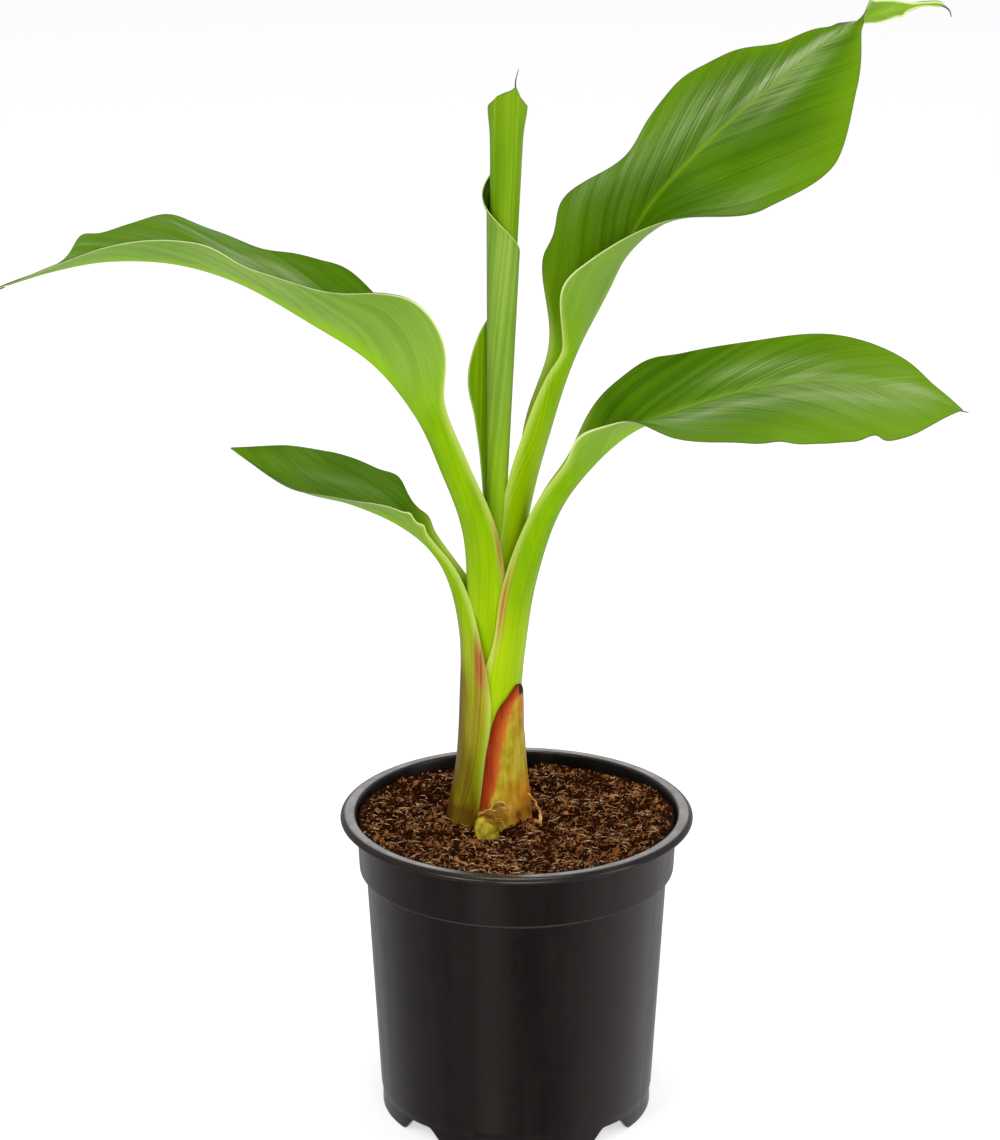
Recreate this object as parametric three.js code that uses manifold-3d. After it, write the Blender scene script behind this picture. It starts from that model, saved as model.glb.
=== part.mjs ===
// Golden lotus banana: a young banana plant in a round nursery pot, with four open leaves,
// one leaf that is still rolled, the stub of an old leaf and a small side bud.
// Millimetres, +Z up. The origin is on the ground, at the centre of the pot.

import * as THREE from "three";
import { mergeVertices } from "three/addons/utils/BufferGeometryUtils.js";
import Module from "manifold-3d";

const wasm = await Module();
wasm.setup();

// Driving dimensions

const CLEARANCE = 0.3; // gap between pieces that touch

const POT_HEIGHT = 152;
const POT_WALL = 1.4;
const POT_SEGMENTS = 48;
const RIM_RADIUS = 85;
const RIM_DEPTH = 3.1;
const RIM_ROUND = 1.1;
const COLLAR_TOP_RADIUS = 77.2;
const COLLAR_FOOT_RADIUS = 76;
const COLLAR_FOOT_Z = 124;
const WALL_TOP_RADIUS = 72.7;
const WALL_FOOT_RADIUS = 66.1;
const FOOT_RADIUS = 65.4;
const FOOT_HEIGHT = 7.6;
const FOOT_THICKNESS = 2;
const FOOT_COUNT = 4;
const NOTCH_AZIMUTH = -45; // first opening between two feet, degrees from +X
const NOTCH_WIDTH = 21; // degrees
const NOTCH_SLOPE = 3; // how much narrower it is at its top, each side
const FLOOR_RADIUS = 55.5;
const FLOOR_Z = 2;
const FLOOR_THICKNESS = 2;
const WEB_Z = 9; // raised ring between the floor and the feet

const SOIL_TOP = 143.5;
const SOIL_EDGE_RISE = 3.5; // how far the soil climbs towards the wall

const STEM_FOOT = [-13.3, 16]; // where the stem's axis meets the soil
const STEM_LEAN = 0.02; // sideways run of the axis for each millimetre of height
const STEM_RADIUS = 14.6;
const STEM_FLARE = 6; // extra radius at the soil
const STEM_FLARE_HEIGHT = 26;
const STEM_CORE_DEPTH = 3.5; // how far the core lies inside the outer sheaths
const STEM_SIDES = 24;
const STEM_RINGS = 8;
const FORK_Z = 240;

const BLADE_THICKNESS = 2.6;
const BLADE_STEPS = 20;
const BLADE_TIP_WIDTH = 8; // half width under which a blade thins out towards its tip
const PETIOLE_STEPS = 14;
const HALF_STEPS = 5; // faces across half a leaf
const SHEATH_EDGE = 0.8; // thickness of a sheath's margin

const ROLL_FOOT = [-11.2, 14.5];
const ROLL_MOUTH = [-5, 20];
const ROLL_MOUTH_Z = 495;
const ROLL_PEAK = 10.5; // how far the point of its mouth stands above its front corners
const ROLL_BACK_DROP = 6; // how far the back of its mouth lies below them
const ROLL_PEAK_AZIMUTH = -55;
const ROLL_FOOT_RADIUS = 1.8;
const ROLL_MOUTH_RADIUS = 8.4;
const ROLL_MOUTH_DEPTH = 14;
const ROLL_WALL = 2.5;
const ROLL_WRAP = 0.9; // thickness of the outer turn
const ROLL_WRAP_LOW = 431; // height of the outer turn's slanting edge on the right
const ROLL_WRAP_HIGH = 460; // and on the left
const ROLL_SIDES = 24;
const ROLL_RINGS = 4; // below the slanting edge
const FLAP_ROWS = [ // height and reach of the loose margin
  [290, 5],
  [326, 8.5],
  [345, 11.5],
  [361, 14.7],
  [373, 14],
  [386, 9.5],
  [394, 4],
];
const FLAP_RISE = 8; // how far the loose margin turns back, degrees
const FLAP_CURL = 24;
const FLAP_STEPS = 10;

const BUD_FOOT = [-14.2, -12.8];
const BUD_RADIUS = 6;
const BUD_HEIGHT = 10;
const BUD_SIDES = 12;
const BUD_RINGS = 5;
const BUD_TAPER = 0.93;

// Leaves, from the innermost out. The base of a leaf clasps the stem: each sheath row gives its
// height above the soil, its offset from the stem's radius, and its left and right wrap in degrees.
// Each free row is one station along the outer line of the midrib, from the stem to the tip:
// x, y, z, then left and right half width, left and right rise of the halves from flat,
// left and right curl across them, and the lift of the right half about the midrib (degrees).
// Left and right are as seen along the leaf with its upper face up. A ruffle gives the height of
// the wave at the margins, and the number of waves and the phase on each side. A lobe is a local
// swelling of a margin: side, -1 at the left or 1 at the right, place along all rows, spread and
// extra width.

const LEAVES = [
  {
    name: "upper_right",
    azimuth: 35,
    standsOn: FORK_Z,
    thickness: 3,
    sheath: [[92.5, -5.4, 105, 128]],
    free: [
      [2.5, 23, 292, 13, 15, 0, 0, 92, 110, 22],
      [14, 28, 336.5, 15, 17, 0, 0, 100, 108, 16],
      [26.5, 35, 371.5, 16, 20, 10, 18, 88, 98, -12],
      [44, 43, 402, 36, 37, 22, 72, 16, 75, -38],
      [60, 52, 435, 29, 36, 16, 42, 8, 60, -50],
      [88, 64, 465, 29, 43, 10, 10, 6, 4, -55],
      [119, 76, 490, 25, 48, 8, 6, 4, 4, -58],
      [146, 86, 509, 9.5, 25, 8, 8, 4, 4, -58],
      [163, 94, 520, 2.5, 4, 15, 20, 10, 10, -20],
      [185, 100, 524, 4, 4, 15, 15, 10, 10, 60],
      [206, 106, 522, 1.2, 1.2, 10, 10, 0, 0, 70],
    ],
    bladeStart: 3.2,
    ruffle: { height: 1.5, left: [2.2, 0.1], right: [2.6, 0.45] },
    lobes: [
      [-1, 4.75, 0.28, 8],
      [-1, 5.4, 0.3, -4],
      [-1, 6.3, 0.3, 2.5],
      [-1, 7.4, 0.35, -4],
      [-1, 9.4, 0.3, 3],
      [1, 3.6, 0.35, 6],
      [1, 9.3, 0.35, 3],
    ],
  },
  {
    name: "upper_left",
    azimuth: 195,
    standsOn: FORK_Z,
    thickness: 3,
    sheath: [[92.5, -2, 118, 112]],
    free: [
      [-25, 8, 287, 21, 19, 0, 0, 112, 102, 0],
      [-36.5, 2, 325, 18, 17, 0, 0, 110, 108, 0],
      [-48.5, -5, 354, 18, 17, 20, 10, 80, 80, 0],
      [-68, -12, 381, 34, 28, 66, 34, 20, 10, 0],
      [-96, -22, 403.5, 35, 36, 38, 24, 8, 6, 0],
      [-126.5, -33, 425, 28, 37, 26, 12, 4, 4, 0],
      [-155, -42, 437, 28, 32, 32, 17, 4, 2, 2],
      [-184, -49, 440.5, 20, 22, 38, 13, 4, 0, 2],
      [-209, -54, 437.5, 9, 10, 28, 12, 0, 0, 0],
      [-234, -59, 431, 1.2, 1.2, 10, 10, 0, 0, 0],
    ],
    bladeStart: 3.2,
    ruffle: { height: 1.4, left: [2.2, 0.1], right: [2.6, 0.45] },
    lobes: [
      [-1, 3.5, 0.35, 3],
      [-1, 6.35, 0.4, -4],
      [1, 4.6, 0.3, 7],
      [1, 5.7, 0.35, -6],
      [1, 7, 0.4, 5],
      [1, 8.35, 0.2, 3],
    ],
  },
  {
    name: "right",
    azimuth: -15,
    standsOn: SOIL_TOP,
    thickness: 2.4,
    sheath: [[-3.5, -0.8, 112, 112], [28.5, -0.8, 112, 112], [62.5, -0.8, 105, 105]],
    free: [
      [4.5, 12, 236, 26, 21, 0, 0, 100, 82, 0],
      [9.2, 10, 265.5, 21, 20, 0, 0, 108, 98, 0],
      [18.5, 5, 298, 18, 17, 0, 0, 112, 108, 0],
      [32, -2, 322.5, 16, 16, 6, 8, 95, 95, -8],
      [53, -11, 346, 26, 13, 25, 40, 15, 35, -20],
      [80, -21, 361.5, 29, 29, 16, 14, 8, 4, -28],
      [112, -31, 374.5, 24, 39.5, 12, 4, 6, 0, -30],
      [144, -40, 380.5, 24, 38, 10, 2, 4, -4, -30],
      [171, -48, 379, 19, 36.5, 10, 2, 4, -4, -28],
      [189, -53, 376, 12, 26, 8, 4, 2, 0, -24],
      [203, -57, 372, 1.2, 1.2, 8, 8, 0, 0, -20],
    ],
    bladeStart: 6.2,
    ruffle: { height: 1.6, left: [2, 0.3], right: [3, 0.1] },
    lobes: [
      [-1, 7.5, 0.35, 3],
      [1, 9.4, 0.2, -2],
      [1, 10.6, 0.25, -1],
      [1, 11, 0.2, -5],
    ],
  },
  {
    name: "lower_left",
    azimuth: 165,
    standsOn: SOIL_TOP,
    thickness: 3.2,
    sheath: [[-3.5, 0, 93, 112], [28.5, 0, 97, 112], [62.5, 0.3, 104, 110], [92.5, 1.2, 84, 90]],
    free: [
      [-32.3, 22, 261, 14, 11, 0, 0, 100, 88, 0],
      [-42, 28, 275.5, 9, 8, 10, 10, 85, 75, 0],
      [-58.5, 34, 286.5, 14, 13.5, 44, 20, 20, 20, 8],
      [-80, 41, 293.7, 16, 25, 36, 18, 6, 6, 10],
      [-102, 47, 297.5, 15, 28, 36, 14, 0, 4, 10],
      [-121, 52, 306, 9, 22, 36, 12, 0, 0, 10],
      [-138, 56, 317, 1.2, 1.2, 10, 8, 0, 0, 10],
    ],
    bladeStart: 5.2,
    ruffle: { height: 0.7, left: [2, 0.3], right: [2, 0.1] },
    lobes: [
      [-1, 5.4, 0.1, 1.5],
      [-1, 5.75, 0.1, 1.5],
      [1, 5.5, 0.2, 2],
      [1, 6.42, 0.32, 5],
    ],
  },
];

// The old leaf's stub: the foot of a sheath that narrows to a point at the front right.
const STUB_THICKNESS = 1.3;
const STUB_STEPS = 8;
const STILL = { height: 0, left: [0, 0], right: [0, 0] };
const STUB = {
  azimuth: -35,
  sheath: [
    [-3.5, 0.8, 68, 68],
    [24.5, 0.8, 60, 60],
    [46.5, 0.8, 44, 44],
    [61.5, 0.8, 22, 20],
    [70.5, 0.8, 5, 5],
  ],
  free: [],
  bladeStart: 0,
  ruffle: STILL,
  lobes: [],
};

const FINISHES = {
  pot: { color: 0x17171a, roughness: 0.38, metalness: 0 },
  soil: { color: 0x3b2215, roughness: 0.95, metalness: 0 },
  stem: { color: 0x8fb53a, roughness: 0.5, metalness: 0 },
  stub: { color: 0xa9803a, roughness: 0.6, metalness: 0 },
  petiole: { color: 0x8fc42c, roughness: 0.45, metalness: 0 },
  blade: { color: 0x4a8a1c, roughness: 0.42, metalness: 0 },
  roll: { color: 0x8fbb52, roughness: 0.5, metalness: 0 },
  bud: { color: 0xa8a348, roughness: 0.6, metalness: 0 },
};

const radians = THREE.MathUtils.degToRad;
const plant = new THREE.Group();

function addPart(name, geometry, finish) {
  const mesh = new THREE.Mesh(geometry, new THREE.MeshStandardMaterial(FINISHES[finish]));
  mesh.name = name;
  plant.add(mesh);
}

// Solids

// A closed mesh as a solid that can be joined and cut.
function solidOf(geometry) {
  const bare = geometry.clone();
  bare.deleteAttribute("normal");
  bare.deleteAttribute("uv");
  const merged = mergeVertices(bare, 1e-4);
  const index = merged.index.array;
  const kept = [];
  for (let i = 0; i < index.length; i += 3) {
    const [a, b, c] = [index[i], index[i + 1], index[i + 2]];
    if (a !== b && b !== c && c !== a) kept.push(a, b, c);
  }
  const vertProperties = new Float32Array(merged.attributes.position.array);
  const triVerts = new Uint32Array(kept);
  return new wasm.Manifold(new wasm.Mesh({ numProp: 3, vertProperties, triVerts }));
}

// A solid back as a mesh, keeping only its largest piece.
function geometryOf(solid) {
  const pieces = solid.decompose().sort((a, b) => b.volume() - a.volume());
  const mesh = pieces[0].getMesh();
  const geometry = new THREE.BufferGeometry();
  geometry.setAttribute("position", new THREE.BufferAttribute(mesh.vertProperties, 3));
  geometry.setIndex(new THREE.BufferAttribute(mesh.triVerts, 1));
  geometry.computeVertexNormals();
  return geometry;
}

function cutClear(geometry, cutters) {
  let solid = solidOf(geometry);
  for (const cutter of cutters) solid = solid.subtract(solidOf(cutter));
  return geometryOf(solid);
}

// Block whose level top trims the foot of what stands on a face at height z.
function footBlock(z) {
  const depth = 20;
  const block = new THREE.BoxGeometry(2 * RIM_RADIUS, 2 * RIM_RADIUS, depth);
  return block.translate(0, 0, z + CLEARANCE - depth / 2);
}

// A skin over closed rings of equal, even count, each turning anticlockwise as seen from the ring
// after it. The first and the last ring are closed by a strip across.
function skin(rings) {
  const count = rings[0].length;
  const positions = rings.flat().flatMap((point) => [point.x, point.y, point.z]);
  const index = [];
  const quad = (a, b, c, d) => index.push(a, b, c, a, c, d);
  for (let i = 0; i + 1 < rings.length; i++) {
    for (let j = 0; j < count; j++) {
      const next = (j + 1) % count;
      quad(i * count + j, i * count + next, (i + 1) * count + next, (i + 1) * count + j);
    }
  }
  const last = (rings.length - 1) * count;
  for (let j = 0; j + 1 < count / 2; j++) {
    const far = count - 1 - j;
    quad(j, far, far - 1, j + 1);
    quad(last + j, last + j + 1, last + far - 1, last + far);
  }
  const geometry = new THREE.BufferGeometry();
  geometry.setAttribute("position", new THREE.Float32BufferAttribute(positions, 3));
  geometry.setIndex(index);
  geometry.computeVertexNormals();
  return geometry;
}

// Ring of points round an upright axis; its height may change with the angle.
function circle(sides, [x, y], radius, height) {
  const points = [];
  for (let j = 0; j < sides; j++) {
    const angle = (2 * Math.PI * j) / sides;
    const across = radius * Math.cos(angle);
    points.push(new THREE.Vector3(x + across, y + radius * Math.sin(angle), height(angle)));
  }
  return points;
}

// Pot and soil

function potProfile() {
  const rimFoot = POT_HEIGHT - RIM_DEPTH;
  const collarInner = COLLAR_TOP_RADIUS - POT_WALL;
  const footInner = FOOT_RADIUS - FOOT_THICKNESS;
  const webTop = WEB_Z + FLOOR_THICKNESS;
  return [
    [0, FLOOR_Z],
    [FLOOR_RADIUS, FLOOR_Z],
    [FLOOR_RADIUS + 1.8, WEB_Z],
    [footInner - 0.2, WEB_Z],
    [footInner, 0.4],
    [footInner + 0.4, 0],
    [FOOT_RADIUS - 0.8, 0],
    [FOOT_RADIUS, 0.9],
    [FOOT_RADIUS, FOOT_HEIGHT],
    [WALL_FOOT_RADIUS, FOOT_HEIGHT + 0.5],
    [WALL_TOP_RADIUS, COLLAR_FOOT_Z - 1.4],
    [COLLAR_FOOT_RADIUS - 0.4, COLLAR_FOOT_Z - 0.6],
    [COLLAR_FOOT_RADIUS, COLLAR_FOOT_Z],
    [COLLAR_TOP_RADIUS, rimFoot - 0.6],
    [COLLAR_TOP_RADIUS + 0.6, rimFoot],
    [RIM_RADIUS - RIM_ROUND, rimFoot],
    [RIM_RADIUS, rimFoot + RIM_ROUND],
    [RIM_RADIUS, POT_HEIGHT - RIM_ROUND],
    [RIM_RADIUS - RIM_ROUND, POT_HEIGHT],
    [COLLAR_TOP_RADIUS + 1.2, POT_HEIGHT],
    [collarInner + 0.5, POT_HEIGHT - RIM_ROUND],
    [collarInner, rimFoot - 1],
    [COLLAR_FOOT_RADIUS - POT_WALL, COLLAR_FOOT_Z + 1],
    [WALL_TOP_RADIUS - POT_WALL, COLLAR_FOOT_Z - 0.4],
    [WALL_TOP_RADIUS - POT_WALL - 0.1, COLLAR_FOOT_Z - 3],
    [WALL_FOOT_RADIUS - POT_WALL + 0.2, webTop + 1],
    [WALL_FOOT_RADIUS - POT_WALL - 1, webTop],
    [FLOOR_RADIUS + 1.4, webTop],
    [FLOOR_RADIUS - 0.4, FLOOR_Z + FLOOR_THICKNESS],
    [0, FLOOR_Z + FLOOR_THICKNESS],
  ];
}

function lathe(profile) {
  const points = profile.map(([radius, z]) => new THREE.Vector2(radius, z));
  return new THREE.LatheGeometry(points, POT_SEGMENTS).rotateX(Math.PI / 2);
}

// Opening between two feet: a trapezium pushed through the foot ring.
function notch(azimuth) {
  const halfWidth = (FOOT_RADIUS * radians(NOTCH_WIDTH)) / 2;
  const reach = 4 * FOOT_THICKNESS;
  const shape = new THREE.Shape([
    new THREE.Vector2(-halfWidth, -1),
    new THREE.Vector2(halfWidth, -1),
    new THREE.Vector2(halfWidth - NOTCH_SLOPE, FOOT_HEIGHT),
    new THREE.Vector2(NOTCH_SLOPE - halfWidth, FOOT_HEIGHT),
  ]);
  const cutter = new THREE.ExtrudeGeometry(shape, { depth: reach, bevelEnabled: false });
  cutter.rotateX(Math.PI / 2);
  cutter.translate(0, FOOT_RADIUS + reach / 2, 0);
  return cutter.rotateZ(radians(azimuth - 90));
}

function pot() {
  const notches = [];
  for (let k = 0; k < FOOT_COUNT; k++) notches.push(notch(NOTCH_AZIMUTH + (360 * k) / FOOT_COUNT));
  return cutClear(lathe(potProfile()), notches);
}

// The mix that fills the pot, clear of its wall and floor, with a flat top and a raised edge.
function soil() {
  const collarInner = COLLAR_FOOT_RADIUS - POT_WALL - CLEARANCE;
  const wallInner = WALL_TOP_RADIUS - POT_WALL - CLEARANCE;
  const footInner = WALL_FOOT_RADIUS - POT_WALL - CLEARANCE;
  const webTop = WEB_Z + FLOOR_THICKNESS + CLEARANCE;
  const floorTop = FLOOR_Z + FLOOR_THICKNESS + CLEARANCE;
  return lathe([
    [0, floorTop],
    [FLOOR_RADIUS - 0.9, floorTop],
    [FLOOR_RADIUS + 0.9, webTop],
    [footInner - 1, webTop],
    [footInner, webTop + 1.2],
    [wallInner - 0.3, COLLAR_FOOT_Z - 4],
    [wallInner - 0.1, COLLAR_FOOT_Z],
    [collarInner, COLLAR_FOOT_Z + 2],
    [collarInner + 1, SOIL_TOP + SOIL_EDGE_RISE - 1],
    [collarInner - 0.5, SOIL_TOP + SOIL_EDGE_RISE],
    [collarInner - 12, SOIL_TOP + SOIL_EDGE_RISE / 3],
    [collarInner - 28, SOIL_TOP],
    [0, SOIL_TOP],
  ]);
}

// Stem

function stemAxis(z) {
  return [STEM_FOOT[0] + STEM_LEAN * (z - SOIL_TOP), STEM_FOOT[1]];
}

function stemRadius(z) {
  return STEM_RADIUS + STEM_FLARE * Math.exp((SOIL_TOP - z) / STEM_FLARE_HEIGHT);
}

// The trunk of tightly packed leaf bases, from its flat cut on the soil to the fork. A grown one
// is larger on every side and serves as a cutter.
function pseudostem(grow) {
  const foot = SOIL_TOP + CLEARANCE - grow;
  const rings = [];
  for (let i = 0; i <= STEM_RINGS; i++) {
    const z = foot + ((FORK_Z + grow - foot) * i) / STEM_RINGS;
    const radius = stemRadius(z) - STEM_CORE_DEPTH + grow;
    rings.push(circle(STEM_SIDES, stemAxis(z), radius, () => z));
  }
  return skin(rings);
}

// Side bud: a small blunt cone that stands on the soil beside the stem.
function offsetBud() {
  const foot = SOIL_TOP + CLEARANCE;
  const rings = [];
  for (let i = 0; i <= BUD_RINGS; i++) {
    const share = i / BUD_RINGS;
    const radius = BUD_RADIUS * Math.sqrt(1 - BUD_TAPER * share * share);
    rings.push(circle(BUD_SIDES, BUD_FOOT, radius, () => foot + BUD_HEIGHT * share));
  }
  return skin(rings);
}

// Leaves

// Row of values at a place along the stations, on a smooth curve through all of them.
function alongStations(stations, place) {
  const i = Math.min(Math.max(Math.floor(place), 0), stations.length - 2);
  const t = place - i;
  const [p1, p2] = [stations[i], stations[i + 1]];
  const p0 = stations[i - 1] ?? p1.map((value, k) => 2 * value - p2[k]);
  const p3 = stations[i + 2] ?? p2.map((value, k) => 2 * value - p1[k]);
  return p1.map((value, k) => {
    const slope = p2[k] - p0[k];
    const square = 2 * p0[k] - 5 * value + 4 * p2[k] - p3[k];
    const cube = 3 * value - p0[k] - 3 * p2[k] + p3[k];
    return value + 0.5 * t * (slope + t * (square + t * cube));
  });
}

function midribPoint(stations, place) {
  const [x, y, z] = alongStations(stations, place);
  return new THREE.Vector3(x, y, z);
}

// Station of a leaf base: an arc of the stem's own round, its middle on the leaf's azimuth.
function sheathStation(azimuth, [height, offset, wrapLeft, wrapRight]) {
  const z = SOIL_TOP + height;
  const radius = stemRadius(z) + offset;
  const [x, y] = stemAxis(z);
  const place = [x + radius * Math.cos(radians(azimuth)), y + radius * Math.sin(radians(azimuth)), z];
  const arcs = [radius * radians(wrapLeft), radius * radians(wrapRight)];
  return [...place, ...arcs, 0, 0, wrapLeft, wrapRight, 0];
}

function leafStations(leaf) {
  return [...leaf.sheath.map((row) => sheathStation(leaf.azimuth, row)), ...leaf.free];
}

// Point on a leaf's outer face: each half is an arc that starts from the midrib at its rise and
// turns through its curl, with lobes and a gentle wave that grows towards the margin of the blade.
function leafPoint(leaf, stations, place, across, grow) {
  const row = alongStations(stations, place);
  const side = across < 0 ? 0 : 1;
  const share = Math.abs(across);
  let width = row[3 + side];
  for (const [lobeSide, middle, spread, extra] of leaf.lobes) {
    if (lobeSide * across > 0) width += extra * Math.exp(-(((place - middle) / spread) ** 2));
  }
  width = Math.max(width, 0.1) + grow;
  const rise = radians(row[5 + side]);
  const curl = radians(row[7 + side]) || 1e-4;
  const along = midribPoint(stations, place + 1e-3).sub(midribPoint(stations, place - 1e-3)).normalize();
  const right = new THREE.Vector3(Math.sin(radians(leaf.azimuth)), -Math.cos(radians(leaf.azimuth)), 0);
  right.addScaledVector(along, -right.dot(along)).normalize().applyAxisAngle(along, -radians(row[9]));
  const up = new THREE.Vector3().crossVectors(right, along);
  const [waves, phase] = side ? leaf.ruffle.right : leaf.ruffle.left;
  const done = Math.max(0, (place - leaf.bladeStart) / (stations.length - 1 - leaf.bladeStart));
  const wave = Math.sin(Math.PI * done) * Math.sin(2 * Math.PI * (waves * done + phase));
  const out = (width * (Math.sin(rise + curl * share) - Math.sin(rise))) / curl;
  const lift = (width * (Math.cos(rise) - Math.cos(rise + curl * share))) / curl;
  return midribPoint(stations, place)
    .addScaledVector(right, side ? out : -out)
    .addScaledVector(up, lift + leaf.ruffle.height * wave * share * share);
}

// Closed solid of a stretch of a leaf. Its outer face is carried inwards by the thickness, which
// runs to the edge's thickness at the margins, and is less where the leaf is slimmer than its tip
// width. A grown one is larger and serves as a cutter.
function leafSolid(leaf, stations, { from, to, steps, thickness, edge, tipWidth = 0, grow = 0 }) {
  const rings = [];
  const h = 1e-3;
  const overRib = 0.05;
  for (let i = 0; i <= steps; i++) {
    const place = from + ((to - from) * i) / steps;
    const [, , , left, right] = alongStations(stations, place);
    const slim = tipWidth ? Math.min(1, Math.min(left, right) / tipWidth) : 1;
    const outer = [];
    const inner = [];
    for (let j = HALF_STEPS; j >= -HALF_STEPS; j--) {
      const across = j / HALF_STEPS;
      const at = (du, dv) => leafPoint(leaf, stations, place + du, across + dv, grow);
      const step = j === 0 ? overRib : h;
      const run = at(h, 0).sub(at(-h, 0));
      const span = at(0, step).sub(at(0, -step));
      const inward = span.cross(run).normalize();
      const depth = slim * (edge + (thickness - edge) * (1 - across * across));
      outer.push(at(0, 0).addScaledVector(inward, -grow));
      inner.unshift(at(0, 0).addScaledVector(inward, depth + grow));
    }
    rings.push([...outer, ...inner]);
  }
  return skin(rings);
}

// Rolled leaf

function rollShare(z) {
  return (z - FORK_Z) / (ROLL_MOUTH_Z - FORK_Z);
}

function rollCentre(z) {
  return ROLL_FOOT.map((value, k) => value + (ROLL_MOUTH[k] - value) * rollShare(z));
}

// A slim tube, thicker below the slanting edge of its outer turn, with a pointed mouth.
function rollTube(grow) {
  const radius = (z) => ROLL_FOOT_RADIUS + (ROLL_MOUTH_RADIUS - ROLL_FOOT_RADIUS) * rollShare(z) + grow;
  const ring = (z, r, height = () => z) => circle(ROLL_SIDES, rollCentre(z), r, height);
  const foot = FORK_Z + CLEARANCE - grow;
  const edgeMiddle = (ROLL_WRAP_LOW + ROLL_WRAP_HIGH) / 2;
  const edge = (angle) => edgeMiddle - (ROLL_WRAP_HIGH - edgeMiddle) * Math.cos(angle);
  const peak = (angle) => Math.max(0, Math.cos(angle - radians(ROLL_PEAK_AZIMUTH))) ** 4;
  const back = (angle) => Math.max(0, Math.sin(angle));
  const mouth = (angle) => ROLL_MOUTH_Z + ROLL_PEAK * peak(angle) - ROLL_BACK_DROP * back(angle);
  const mouthFloor = ROLL_MOUTH_Z - ROLL_MOUTH_DEPTH;
  const mouthRadius = radius(ROLL_MOUTH_Z);
  const rings = [];
  for (let i = 0; i < ROLL_RINGS; i++) {
    const z = foot + ((ROLL_WRAP_LOW - foot) * i) / ROLL_RINGS;
    rings.push(ring(z, radius(z) + ROLL_WRAP));
  }
  rings.push(ring(edgeMiddle, radius(edgeMiddle) + ROLL_WRAP, edge));
  rings.push(ring(edgeMiddle, radius(edgeMiddle), (angle) => edge(angle) + ROLL_WRAP));
  rings.push(ring(mouthFloor, radius(mouthFloor)));
  rings.push(ring(ROLL_MOUTH_Z, mouthRadius, mouth));
  rings.push(ring(ROLL_MOUTH_Z, mouthRadius - ROLL_WALL, mouth));
  rings.push(ring(mouthFloor, mouthRadius - 1.4 * ROLL_WALL));
  return skin(rings);
}

// Part of the roll's margin that has come loose and stands out to the left.
function rollFlap() {
  const flap = { azimuth: -90, bladeStart: 0, ruffle: STILL, lobes: [] };
  const stations = FLAP_ROWS.map(([z, reach]) => {
    return [...rollCentre(z), z, 1, reach, 0, FLAP_RISE, 0, FLAP_CURL, 0];
  });
  const whole = { from: 0, to: stations.length - 1, steps: FLAP_STEPS };
  return leafSolid(flap, stations, { ...whole, thickness: ROLL_WALL, edge: ROLL_WALL });
}

function rolledLeaf() {
  return geometryOf(solidOf(rollTube(0)).add(solidOf(rollFlap())));
}

// Assembly

addPart("pot", pot(), "pot");
addPart("soil", soil(), "soil");
addPart("pseudostem", pseudostem(0), "stem");
addPart("offset_bud", offsetBud(), "bud");
addPart("rolled_leaf", rolledLeaf(), "roll");

// From the innermost leaf out, each leaf base is cut clear of what it clasps.
const clasped = [pseudostem(CLEARANCE), rollTube(CLEARANCE)];

for (const leaf of LEAVES) {
  const stations = leafStations(leaf);
  const { bladeStart, thickness } = leaf;
  const probe = 0.01;
  const run = midribPoint(stations, bladeStart).distanceTo(midribPoint(stations, bladeStart + probe));
  const gap = (probe * CLEARANCE) / run;
  const base = { from: 0, to: bladeStart, steps: PETIOLE_STEPS, thickness, edge: SHEATH_EDGE };
  const petiole = leafSolid(leaf, stations, base);
  const blade = leafSolid(leaf, stations, {
    from: bladeStart + gap,
    to: stations.length - 1,
    steps: BLADE_STEPS,
    thickness: BLADE_THICKNESS,
    edge: BLADE_THICKNESS,
    tipWidth: BLADE_TIP_WIDTH,
  });
  addPart(`petiole_${leaf.name}`, cutClear(petiole, [footBlock(leaf.standsOn), ...clasped]), "petiole");
  addPart(`leaf_${leaf.name}`, blade, "blade");
  clasped.push(leafSolid(leaf, stations, { ...base, grow: CLEARANCE }));
}

const stubStations = leafStations(STUB);
const stub = leafSolid(STUB, stubStations, {
  from: 0,
  to: stubStations.length - 1,
  steps: STUB_STEPS,
  thickness: STUB_THICKNESS,
  edge: STUB_THICKNESS,
});
addPart("old_sheath", cutClear(stub, [footBlock(SOIL_TOP), ...clasped]), "stub");

export default plant;
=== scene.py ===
"""Looks of a young golden lotus banana in a round nursery pot.

Lengths in this file are millimetres until a piece is made, and pieces are in metres. +Z is up, the
origin is on the ground under the pot's centre, and the front faces -Y.
"""

import itertools
import math

import bpy
import numpy as np
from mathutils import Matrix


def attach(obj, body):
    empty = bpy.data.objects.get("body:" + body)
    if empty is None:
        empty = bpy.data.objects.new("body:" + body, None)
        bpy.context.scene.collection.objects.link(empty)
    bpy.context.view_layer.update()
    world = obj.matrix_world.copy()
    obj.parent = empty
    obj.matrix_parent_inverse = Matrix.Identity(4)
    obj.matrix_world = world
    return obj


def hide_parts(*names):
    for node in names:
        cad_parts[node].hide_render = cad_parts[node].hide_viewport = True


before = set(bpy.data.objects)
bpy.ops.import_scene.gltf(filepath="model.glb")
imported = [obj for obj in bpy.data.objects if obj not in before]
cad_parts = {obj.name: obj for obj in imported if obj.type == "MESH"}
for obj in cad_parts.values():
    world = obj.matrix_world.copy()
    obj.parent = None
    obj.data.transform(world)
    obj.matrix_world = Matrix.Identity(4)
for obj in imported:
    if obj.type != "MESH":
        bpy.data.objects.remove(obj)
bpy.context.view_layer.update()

MM = 0.001
BODY = "root"
rng = np.random.default_rng(11)

# Pot and soil

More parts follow.
